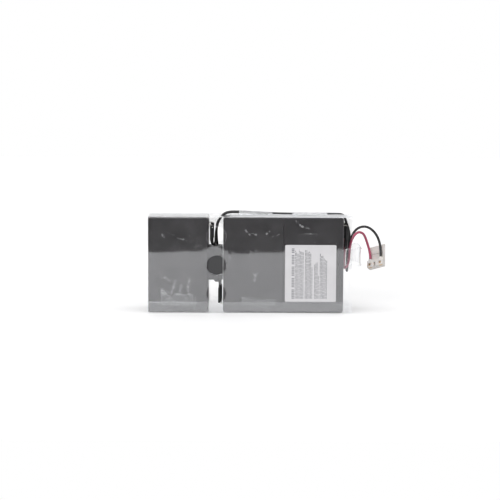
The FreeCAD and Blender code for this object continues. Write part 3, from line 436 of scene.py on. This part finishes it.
def foam_finish(name):
    """Dark closed-cell foam, pitted by fine cells."""
    material, tree, shader = grained_finish(name, (0.05, 0.05, 0.052), (0.065, 0.065, 0.068), (0.8, 0.92),
                                            900.0)
    place = add(tree, "ShaderNodeTexCoord").outputs["Object"]
    cells = add(tree, "ShaderNodeTexVoronoi", {"Vector": place, "Scale": 1400.0})
    join(tree, shader.inputs["Normal"], bump(tree, cells.outputs["Distance"], 0.6, 0.3 * MM))
    return material


def nylon_finish(name):
    """Natural nylon: warm pale grey, a little light bleeding through thin walls."""
    material, _, shader = grained_finish(name, (0.64, 0.605, 0.58), (0.73, 0.695, 0.665), (0.38, 0.5),
                                         1500.0, broad=90.0, strength=0.12)
    shader.inputs["Subsurface Weight"].default_value = 0.15
    shader.inputs["Subsurface Radius"].default_value = (0.004, 0.003, 0.002)
    shader.inputs["Subsurface Scale"].default_value = 1.0
    return material


# Solid finishes: dark and light tone, their roughness, the grain to the metre and what is special to each
SOLID_LOOKS = {
    "case_plastic": ((0.020, 0.0175, 0.021), (0.045, 0.041, 0.046), (0.3, 0.42), 1800.0,
                     {"broad": 45.0, "strength": 0.12, "scuffs": 0.35, "specular": 1.0}),
    "plate_lead": ((0.22, 0.22, 0.23), (0.34, 0.34, 0.35), (0.7, 0.9), 700.0, {}),
    "valve_rubber": ((0.04, 0.04, 0.04), (0.06, 0.06, 0.06), (0.6, 0.8), 1200.0, {}),
    "boot_vinyl": ((0.009, 0.009, 0.010), (0.015, 0.015, 0.016), (0.4, 0.55), 1500.0, {"specular": 0.35}),
    "label_paper": ((0.665, 0.655, 0.67), (0.725, 0.715, 0.73), (0.45, 0.6), 2500.0,
                    {"broad": 40.0, "strength": 0.05}),
    "label_ink": ((0.22, 0.22, 0.24), (0.34, 0.34, 0.36), (0.55, 0.7), 3000.0, {}),
    "black_insulation": ((0.014, 0.013, 0.014), (0.024, 0.023, 0.025), (0.32, 0.45), 1200.0,
                         {"broad": 60.0, "strength": 0.1}),
    "red_insulation": ((0.40, 0.06, 0.12), (0.48, 0.085, 0.155), (0.34, 0.46), 1200.0,
                       {"broad": 60.0, "strength": 0.1}),
}
METAL_LOOKS = {
    "strap_lead": ((0.30, 0.31, 0.33), (0.42, 0.43, 0.45), (0.5, 0.65), 900.0),
    "terminal_metal": ((0.62, 0.60, 0.55), (0.76, 0.74, 0.69), (0.22, 0.38), 1600.0),
    "contact_brass": ((0.66, 0.42, 0.20), (0.80, 0.55, 0.28), (0.25, 0.4), 1500.0),
}
CLEAR_LOOKS = {
    "clear_film": (0.086, 0.004, 0.035, 0.3, 0.02),
    "strap_film": (0.055, 0.02, 0.12, 0.4, 0.1),
    "clear_tape": (0.05, 0.015, 0.1, 0.5, 0.2),
    "milky_tape": (0.08, 0.035, 0.25, 0.4, 0.08),
}
FINISHES = {"spacer_foam": foam_finish("spacer_foam"), "plug_nylon": nylon_finish("plug_nylon")}
for name, (*look, special) in SOLID_LOOKS.items():
    FINISHES[name] = grained_finish(name, *look, **special)[0]
for name, look in METAL_LOOKS.items():
    FINISHES[name] = metal_finish(name, *look)
for name, look in CLEAR_LOOKS.items():
    FINISHES[name] = clear_finish(name, *look)


def dress_cad_nodes():
    """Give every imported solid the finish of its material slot."""
    for piece in frame["record"]["subparts"]:
        materials = nodes[piece["node"]].data.materials
        materials.clear()
        materials.append(FINISHES[piece["material_slot"]])


# Pieces
def finish_piece(piece, slot, replaced=(), finish=None):
    """Give a new piece its finish, its body and the solids that it stands for."""
    piece.data.materials.append(FINISHES[finish or slot])
    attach(piece, BODY)
    if replaced:
        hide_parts(*replaced)
    return piece


def mesh_piece(name, maker, rounded=True):
    """Object from a mesh that the maker fills, shaded as rounded or as flat faces."""
    mesh = bmesh.new()
    maker(mesh)
    data = bpy.data.meshes.new(name)
    mesh.to_mesh(data)
    mesh.free()
    for face in data.polygons:
        face.use_smooth = rounded
    piece = bpy.data.objects.new(name, data)
    bpy.context.scene.collection.objects.link(piece)
    return piece


def thicken(piece, thickness, offset=0.0):
    modifier = piece.modifiers.new("thickness", "SOLIDIFY")
    modifier.thickness = thickness
    modifier.offset = offset


def cable(name, route):
    """Smooth round cable along a route's control points."""
    data = bpy.data.curves.new(name, "CURVE")
    data.dimensions = "3D"
    data.bevel_depth = CABLE_DIAMETER / 2
    data.bevel_resolution = CABLE_ROUNDNESS
    data.resolution_u = CABLE_STEPS
    data.use_fill_caps = True
    spline = data.splines.new("NURBS")
    spline.points.add(len(route) - 1)
    for point, place in zip(spline.points, route):
        point.co = (*(Vector(place) * MM), 1.0)
    spline.order_u = 3
    spline.use_endpoint_u = True
    spline.use_smooth = True
    piece = bpy.data.objects.new(name, data)
    bpy.context.scene.collection.objects.link(piece)
    return piece


def make_cables():
    """The two leads to the plug and the two links between blocks. Returns the black lead."""
    negative = finish_piece(cable("black_lead", NEGATIVE_LEAD), "black_insulation", ["negative_lead"])
    positive = finish_piece(cable("red_lead", POSITIVE_LEAD), "red_insulation", ["positive_lead"])
    finish_piece(cable("left_link", LEFT_JUMPER), "black_insulation", ["left_jumper"])
    finish_piece(cable("right_link", RIGHT_JUMPER), "black_insulation", ["right_jumper"])
    return negative


# Clear sheets
def clipped_sheet(columns, rows, place, keep, worn):
    """Maker of the part of a grid where keep is positive, with its cut edge along keep's zero line.

    Its points carry how worn the sheet is: cut edges are whitened, and the rest is as worn says.
    """
    def fill(mesh):
        depth = {(column, row): keep(column, row) for column in columns for row in rows}
        made = {}

        def vertex(key, column, row):
            if key not in made:
                made[key] = mesh.verts.new(place(column, row))
            return made[key]

        def crossing(first, second):
            share = depth[first] / (depth[first] - depth[second])
            spot = [start + (end - start) * share for start, end in zip(first, second)]
            return vertex(frozenset((first, second)), *spot)

        for left, right in zip(columns, columns[1:]):
            for low, high in zip(rows, rows[1:]):
                corners = [(left, low), (right, low), (right, high), (left, high)]
                loop = []
                for first, second in zip(corners, corners[1:] + corners[:1]):
                    if depth[first] > 0:
                        loop.append(vertex(first, *first))
                    if (depth[first] > 0) != (depth[second] > 0):
                        loop.append(crossing(first, second))
                if len(loop) > 2:
                    mesh.faces.new(loop)
        bmesh.ops.remove_doubles(mesh, verts=mesh.verts, dist=MERGE_DISTANCE)
        wear = mesh.verts.layers.float.new(WEAR)
        for point in mesh.verts:
            point[wear] = EDGE_WEAR if point.is_boundary else worn(point.co)

    return fill


def steps(start, end, step):
    """Places from start to end, about a step apart."""
    count = max(1, round((end - start) / step))
    return [start + (end - start) * index / count for index in range(count + 1)]


def clear_of_slot(across, along, half_size):
    """Distance outside a rounded slot about the origin, less than zero inside it."""
    over = [abs(part) - half + NOTCH_CORNER for part, half in zip((across, along), half_size)]
    return math.hypot(max(over[0], 0.0), max(over[1], 0.0)) + min(max(over), 0.0) - NOTCH_CORNER


def smooth(low, high, number):
    """Smooth rise from 0 at the low number to 1 at the high one."""
    share = min(max((number - low) / (high - low), 0.0), 1.0)
    return share * share * (3.0 - 2.0 * share)


def along_table(table, number):
    """Height at a place along a table of places and heights, straight between them."""
    for (start, low), (end, high) in zip(table, table[1:]):
        if number <= end:
            return low + (high - low) * max(0.0, (number - start) / (end - start))
    return table[-1][1]


def sleeve_sections():
    """Runs and folds of the sheet in order: where each starts along it, its length and what it needs."""
    corners = [Vector(corner) * MM for corner in SLEEVE_CORNERS]
    sections = []
    along = 0.0
    last = len(SLEEVE_PANELS) - 1
    for index, panel in enumerate(SLEEVE_PANELS):
        heading = (corners[index + 1] - corners[index]).normalized()
        start = corners[index] + heading * (FOLD_RADIUS if index else 0.0)
        end = corners[index + 1] - heading * (FOLD_RADIUS if index < last else 0.0)
        length = (end - start).length
        sections.append((along, length, panel, start, heading))
        along += length
        if index < last:
            sections.append((along, FOLD_RADIUS * math.pi / 2, "fold", end, heading))
            along += FOLD_RADIUS * math.pi / 2
    return sections


SECTIONS = sleeve_sections()


def on_sleeve(along):
    """Panel, place across the row and outward direction at a distance along the folded sheet."""
    begin, _, panel, start, heading = next(part for part in reversed(SECTIONS)
                                           if along >= part[0] - TINY or part is SECTIONS[0])
    outward = Vector((heading.y, -heading.x))
    if panel != "fold":
        return panel, start + heading * (along - begin), outward
    angle = (along - begin) / FOLD_RADIUS
    turned = outward * math.cos(angle) + heading * math.sin(angle)
    return panel, start - outward * FOLD_RADIUS + turned * FOLD_RADIUS, turned


def crease_strength(x, z):
    """How strongly the front panel is creased at a place, broken up along each crease."""
    total = 0.0
    for x0, z0, x1, z1, strength, width in CREASES:
        run_x, run_z = x1 - x0, z1 - z0
        share = ((x / MM - x0) * run_x + (z / MM - z0) * run_z) / (run_x * run_x + run_z * run_z)
        share = min(max(share, 0.0), 1.0)
        away = math.hypot(x / MM - x0 - share * run_x, z / MM - z0 - share * run_z) / width
        if away < CREASE_REACH:
            total += strength * math.exp(-away * away)
    if total:
        total *= CREASE_MEAN + CREASE_SPREAD * noise.noise(Vector((x, 0.0, z)) * CREASE_BREAKS)
    return max(0.0, total)


def front_wave(x, z):
    """How far the front panel stands out of its plane."""
    lean = sum(slope * math.exp(-((x / MM - middle) / width) ** 2) for middle, width, slope in PANEL_LEANS)
    rise = z - LEAN_MIDDLE
    wave = lean * rise * math.exp(-(rise / LEAN_REACH) ** 2)
    wave += FRONT_RIPPLE * noise.noise(Vector((x, 0.0, z)) * FRONT_RIPPLES)
    curl = z - CURL_MIDDLE
    wave += CURL * smooth(*CURL_RUN, x) * curl * math.exp(-(curl / CURL_REACH) ** 2)
    beside_label = max(LABEL_LOW.x - x, x - LABEL_HIGH.x, LABEL_LOW.z - z, z - LABEL_HIGH.z)
    free = smooth(0.0, LABEL_HOLD, beside_label) * smooth(FLAP_EDGE, FLAP_HOLD, z)
    return (wave + CREASE_HEIGHT * crease_strength(x, z)) * free


def top_wave(x, y):
    """How far the top panel stands up in front of the cables, and sags under them."""
    under_cables = smooth(*CABLES_UP, x) * (1.0 - smooth(*CABLES_DOWN, x))
    lip = along_table(LIP_HEIGHTS, x / MM) * MM * math.exp(-((y - LIP_MIDDLE) / LIP_REACH) ** 2)
    lip *= LIP_MEAN + LIP_SPREAD * noise.noise(Vector((x * LIP_WAVES, 5.0, 0.0)))
    return lip - CABLE_SAG * math.exp(-(y / CABLE_SAG_REACH) ** 2) * under_cables


def sleeve_place(x, along):
    """Point of the folded sheet, with the unevenness of its panels."""
    panel, spot, outward = on_sleeve(along)
    if panel == "top":
        lift = top_wave(x, spot.x)
    elif panel == "front":
        lift = front_wave(x, spot.y)
    elif panel == "fold":
        lift = 0.0
    else:
        lift = SHEET_RIPPLE * (0.5 + 0.5 * noise.noise(Vector((x, spot.x, spot.y)) * SHEET_RIPPLES))
    return x, spot.x + outward.x * lift, spot.y + outward.y * lift


def sleeve_keep(x, along):
    """Distance inside the sheet from its windows, cable hole and notches."""
    panel, spot, _ = on_sleeve(along)
    clear = FINE_STEP
    if panel in ("front", "back", "flap"):
        clear = min(math.hypot(x - GAP_MIDDLE, spot.y - rise) - WINDOW_RADIUS for rise in WINDOW_RISES)
    if panel == "back":
        clear = min(clear, clear_of_slot(x - SLEEVE_END, spot.y - BACK_NOTCH_RISE, BACK_NOTCH))
    elif panel == "top":
        clear = min(math.hypot(x - GAP_MIDDLE, spot.x) - WINDOW_RADIUS,
                    clear_of_slot(x - SLEEVE_END, spot.x, TOP_NOTCH))
    return clear


def sleeve_wear(point):
    """Whitening of the sheet along its creases, and where it stands up in front of the cables."""
    if point.z > SLEEVE_TOP - FILM_THICKNESS:
        in_front = 1.0 - smooth(LIP_MIDDLE, LIP_MIDDLE + LIP_REACH, point.y)
        return LIP_WEAR * in_front * smooth(*CABLES_UP, point.x)
    on_front = point.y < SLEEVE_CORNERS[-1][0] * MM + FOLD_RADIUS / 2 and point.z > FLAP_EDGE
    return crease_strength(point.x, point.z) if on_front else 0.0


def make_sleeve():
    """Clear sheet folded round the row, with its windows, cable hole and notches cut out."""
    rows = []
    for begin, length, panel, _, _ in SECTIONS:
        if panel == "fold":
            step = length / FOLD_STEPS
        else:
            step = FINE_STEP if panel in ("front", "flap") else COARSE_STEP
        rows += steps(begin, begin + length, step)[:-1]
    rows.append(SECTIONS[-1][0] + SECTIONS[-1][1])
    columns = steps(-SLEEVE_END, SLEEVE_END, FINE_STEP)
    sheet = clipped_sheet(columns, rows, sleeve_place, sleeve_keep, sleeve_wear)
    sleeve = mesh_piece("folded_sleeve", sheet)
    thicken(sleeve, FILM_THICKNESS)
    finish_piece(sleeve, "clear_film", ["clear_sleeve"])


def make_flap_tape(name, node, top_edge, wrinkle_seed, worn):
    """Clear tape stuck half on the flap and half on the front panel, wrinkled along its ragged top."""
    left, right = top_edge[0][0] * MM, top_edge[-1][0] * MM
    highest = max(height for _, height in top_edge) * MM

    def place(x, z):
        over_flap = 1.0 - min(max((z - FLAP_EDGE) / TAPE_BRIDGE, 0.0), 1.0)
        base = FRONT_FACE + front_wave(x, z) + (FLAP_FACE - FRONT_FACE) * over_flap
        spot = Vector((x * TAPE_WRINKLES[0], wrinkle_seed, z * TAPE_WRINKLES[1]))
        wrinkle = TAPE_WRINKLE * max(0.0, noise.noise(spot)) * smooth(FLAP_EDGE, WRINKLED_FROM, z)
        return x, -base - TAPE_THICKNESS - wrinkle, z

    def keep(x, z):
        ragged = TAPE_RAGGED * noise.noise(Vector((x * TAPE_RAGS, wrinkle_seed, 0.0)))
        return along_table(top_edge, x / MM) * MM + ragged - z

    columns = steps(left, right, TAPE_STEP)
    rows = steps(TAPE_FOOT, highest + MM, TAPE_STEP)
    sheet = clipped_sheet(columns, rows, place, keep, worn=lambda point: worn)
    tape = mesh_piece(name, sheet)
    thicken(tape, TAPE_THICKNESS)
    finish_piece(tape, "clear_tape", [node])


def line_points(piece):
    """Points along a cable's middle line."""
    line = piece.data.copy()
    line.bevel_depth = 0.0
    holder = bpy.data.objects.new("line", line)
    mesh = bpy.data.meshes.new_from_object(holder)
    points = [vertex.co.copy() for vertex in mesh.vertices]
    bpy.data.objects.remove(holder)
    bpy.data.meshes.remove(mesh)
    bpy.data.curves.remove(line)
    return points


def make_cable_tapes(lead):
    """Clear tape laid over the pair of cables on top of the sleeve."""
    first, last = CABLE_TAPE_REACH
    over_top = sorted((point.x, point.z) for point in line_points(lead)
                      if point.z > SLEEVE_TOP and first < point.x < last)
    rows = steps(-CABLE_TAPE_HALF, CABLE_TAPE_HALF, CABLE_TAPE_STEPS[1])

    def place(x, y):
        seat = SLEEVE_TOP + TAPE_SEAT + max(0.0, top_wave(x, y))
        crown = along_table(over_top, x) + CABLE_DIAMETER / 2 + TAPE_OVER_CABLE
        fall = smooth(TAPE_FALL[0], TAPE_FALL[1] + TAPE_SLACK * (crown - SLEEVE_TOP), abs(y))
        crinkle = max(0.0, noise.noise(Vector((x * TAPE_CRINKLES[0], y * TAPE_CRINKLES[1], 7.0))))
        dip = TAPE_DIP * math.exp(-(y / TAPE_DIP_REACH) ** 2)
        height = max(seat, crown - dip - (crown - seat) * fall)
        return x, y, height + TAPE_CRINKLE * crinkle * (1.0 - TAPE_CALM * fall)

    for node, (start, end, worn) in CABLE_TAPES.items():
        columns = steps(start * MM, end * MM, CABLE_TAPE_STEPS[0])
        sheet = clipped_sheet(columns, rows, place, keep=lambda x, y: 1.0, worn=lambda point: worn)
        tape = mesh_piece(f"{node}_sheet", sheet)
        thicken(tape, TAPE_THICKNESS)
        finish_piece(tape, "clear_tape", [node], finish="milky_tape")


def make_handle_loop():
    """Clear strip looped round the plug end, stuck to the front and back panels."""
    guide = cable("handle_guide", [(x, y, 0.0) for x, y in STRAP_ROUTE])
    line = line_points(guide)
    guide_line = guide.data
    bpy.data.objects.remove(guide)
    bpy.data.curves.remove(guide_line)

    def fill(mesh):
        levels = steps(*STRAP_BAND, STRAP_STEP)
        count = len(line) - 1
        wear = mesh.verts.layers.float.new(WEAR)
        rows = []
        for index, point in enumerate(line):
            free = math.sin(math.pi * smooth(*STRAP_FREE, index / count))
            rows.append([])
            for level in levels:
                share = 2.0 * (level - levels[0]) / (levels[-1] - levels[0]) - 1.0
                flare = share * STRAP_FLARE * (1.0 - abs(2.0 * index / count - 1.0)) * (1.0 - free)
                cup = STRAP_CUP * free * (1.0 - share * share)
                corner = mesh.verts.new((point.x - cup, point.y, level - STRAP_DROP * free + flare))
                at_edge = level in (levels[0], levels[-1])
                corner[wear] = STRAP_WEAR if at_edge else STRAP_END_WEAR * free
                rows[-1].append(corner)
        for first, second in zip(rows, rows[1:]):
            for corners in zip(first, first[1:], second[1:], second):
                mesh.faces.new(corners)

    loop = mesh_piece("handle_loop", fill)
    thicken(loop, STRAP_THICKNESS)
    finish_piece(loop, "strap_film", ["pull_strap"])


def make_foam_spacer():
    """Block of firm foam between two facing lids, cut a little out of true."""
    low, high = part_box("spacer_block")

    def fill(mesh):
        bmesh.ops.create_cube(mesh, size=1.0)
        for axis, count in enumerate(SPACER_CUTS):
            for index in range(1, count):
                spot = Vector((0.0, 0.0, 0.0))
                spot[axis] = index / count - 0.5
                side = Vector((0.0, 0.0, 0.0))
                side[axis] = 1.0
                whole = mesh.verts[:] + mesh.edges[:] + mesh.faces[:]
                bmesh.ops.bisect_plane(mesh, geom=whole, plane_co=spot, plane_no=side)
        for point in mesh.verts:
            share = point.co + Vector((0.5, 0.5, 0.5))
            at_top = SPACER_TOP * share.z ** SPACER_TOP_POWER
            free = share.x * (SPACER_TAPER * share.y + at_top - SPACER_SWELL)
            uneven = SPACER_UNEVEN * noise.noise(share * SPACER_LUMPS) * share.x
            inward = Vector((0.0, SPACER_INSET * (1.0 - 2.0 * share.y), SPACER_INSET * (1.0 - 2.0 * share.z)))
            place = [start + (end - start) * part for start, end, part in zip(low, high, share)]
            point.co = Vector(place) + inward + Vector((uneven - free, 0.0, 0.0))

    spacer = mesh_piece("foam_spacer", fill, rounded=False)
    rounding = spacer.modifiers.new("cut_edges", "BEVEL")
    rounding.width = SPACER_EDGE
    rounding.segments = 2
    finish_piece(spacer, "spacer_foam", ["spacer_block"])


def make_label_print():
    """Heading of wide blocks and columns of plain bars on the label, read upwards."""
    draw = random.Random(PRINT_SEED)
    low, high = LABEL_LOW, LABEL_HIGH

    def bar(mesh, left, right, bottom, top):
        """Thin box on the label's face."""
        faces = [low.y - PRINT_THICKNESS, low.y]
        corners = [mesh.verts.new((x, y, z)) for y in faces for x, z in
                   ((left, bottom), (right, bottom), (right, top), (left, top))]
        for loop in ((0, 1, 2, 3), (7, 6, 5, 4), (0, 4, 5, 1), (1, 5, 6, 2), (2, 6, 7, 3), (3, 7, 4, 0)):
            mesh.faces.new([corners[index] for index in loop])

    def fill(mesh):
        z = low.z + PRINT_MARGIN
        block = 0
        while z < high.z - PRINT_MARGIN:
            block += 1
            if block % HEADING_GROUP:
                bar(mesh, *(low.x + side * MM for side in PRINT_HEADING), z, z + HEADING_BLOCK)
            z += HEADING_BLOCK + HEADING_GAP
        for start, end, lines, bare, fall, ragged in PRINT_COLUMNS:
            pitch = (end - start) * MM / lines
            width = pitch * PRINT_FINE
            for line in range(lines):
                left = low.x + start * MM + line * pitch
                z = low.z + PRINT_MARGIN
                line_end = high.z - (bare + line * fall + draw.uniform(0.0, ragged)) * MM
                while z < line_end:
                    length = draw.uniform(*BAR_LENGTHS) * MM
                    bar(mesh, left, left + width, z, min(z + length, line_end))
                    z += length + draw.uniform(*BAR_GAPS) * MM

    print_piece = mesh_piece("label_print", fill, rounded=False)
    finish_piece(print_piece, "label_paper", finish="label_ink")


# Camera, table and light
def make_camera():
    data = bpy.data.cameras.new("camera")
    data.sensor_width = SENSOR_WIDTH
    data.lens = FOCAL_LENGTH
    data.clip_end = 50.0
    camera = bpy.data.objects.new("camera", data)
    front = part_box("clear_sleeve")[0].y
    camera.location = (CAMERA_SIDE, front - CAMERA_DISTANCE, CAMERA_HEIGHT)
    camera.rotation_euler = (math.radians(90.0 - CAMERA_PITCH), math.radians(CAMERA_ROLL), 0.0)
    bpy.context.scene.collection.objects.link(camera)
    bpy.context.scene.camera = camera


def make_table():
    """White table top that glows a little to the eye and to mirrors, more so away from the pack."""
    def fill(mesh):
        corners = [(-TABLE_HALF_WIDTH, TABLE_FRONT), (TABLE_HALF_WIDTH, TABLE_FRONT),
                   (TABLE_HALF_WIDTH, TABLE_BACK), (-TABLE_HALF_WIDTH, TABLE_BACK)]
        mesh.faces.new([mesh.verts.new((x, y, 0.0)) for x, y in corners])

    table = mesh_piece("table", fill, rounded=False)
    material, tree, shader = grained_finish("table_top", (0.86, 0.86, 0.865), (0.88, 0.88, 0.885), (0.5, 0.6),
                                            800.0, broad=3.0, strength=0.02)
    path = add(tree, "ShaderNodeLightPath").outputs
    mirrored = reckon(tree, "MAXIMUM", path["Is Glossy Ray"], path["Is Transmission Ray"])
    seen = reckon(tree, "MAXIMUM", path["Is Camera Ray"], mirrored)
    place = add(tree, "ShaderNodeTexCoord").outputs["Object"]
    away = add(tree, "ShaderNodeVectorMath", {0: place}, operation="LENGTH").outputs["Value"]
    glow = ranged(tree, away, *TABLE_GLOW)
    join(tree, shader.inputs["Emission Strength"], reckon(tree, "MULTIPLY", seen, glow))
    shader.inputs["Emission Color"].default_value = grey(1.0)
    table.data.materials.append(material)


def make_world():
    """White all round to the eye; to a mirror, white behind and a dark room in front."""
    world = bpy.data.worlds.new("studio")
    bpy.context.scene.world = world
    world.use_nodes = True
    tree = world.node_tree
    tree.nodes.clear()
    direction = add(tree, "ShaderNodeTexCoord").outputs["Generated"]
    parts = add(tree, "ShaderNodeSeparateXYZ", {0: direction}).outputs
    behind = ranged(tree, parts["Y"], *ROOM_BEHIND)
    above = ranged(tree, parts["Z"], *ROOM_ABOVE)
    room = between(tree, reckon(tree, "MAXIMUM", behind, above), grey(ROOM_FRONT), grey(ROOM_BACK))
    path = add(tree, "ShaderNodeLightPath").outputs
    mirrored = between(tree, path["Is Glossy Ray"], grey(ROOM_LIGHT), room)
    seen = reckon(tree, "MAXIMUM", path["Is Camera Ray"], path["Is Transmission Ray"])
    colour = between(tree, seen, mirrored, grey(1.0))
    background = add(tree, "ShaderNodeBackground", {"Color": colour, "Strength": 1.0})
    output = add(tree, "ShaderNodeOutputWorld")
    tree.links.new(background.outputs[0], output.inputs["Surface"])


def make_softbox(name, place, size, power):
    data = bpy.data.lights.new(name, "AREA")
    data.shape = "RECTANGLE"
    data.size, data.size_y = size
    data.energy = power
    lamp = bpy.data.objects.new(name, data)
    lamp.location = place
    lamp.rotation_euler = (Vector(SOFTBOX_AIM) - Vector(place)).to_track_quat("-Z", "Y").to_euler()
    bpy.context.scene.collection.objects.link(lamp)


bpy.context.scene.view_settings.view_transform = "Standard"
make_camera()
make_table()
make_world()
for name, (place, size, power) in SOFTBOXES.items():
    make_softbox(name, place, size, power)
dress_cad_nodes()
make_sleeve()
make_flap_tape("left_tape_sheet", "left_flap_tape", LEFT_TAPE_TOP, wrinkle_seed=3.0, worn=0.24)
make_flap_tape("middle_tape_sheet", "middle_flap_tape", MIDDLE_TAPE_TOP, wrinkle_seed=8.0, worn=0.22)
make_cable_tapes(make_cables())
make_handle_loop()
make_foam_spacer()
make_label_print()
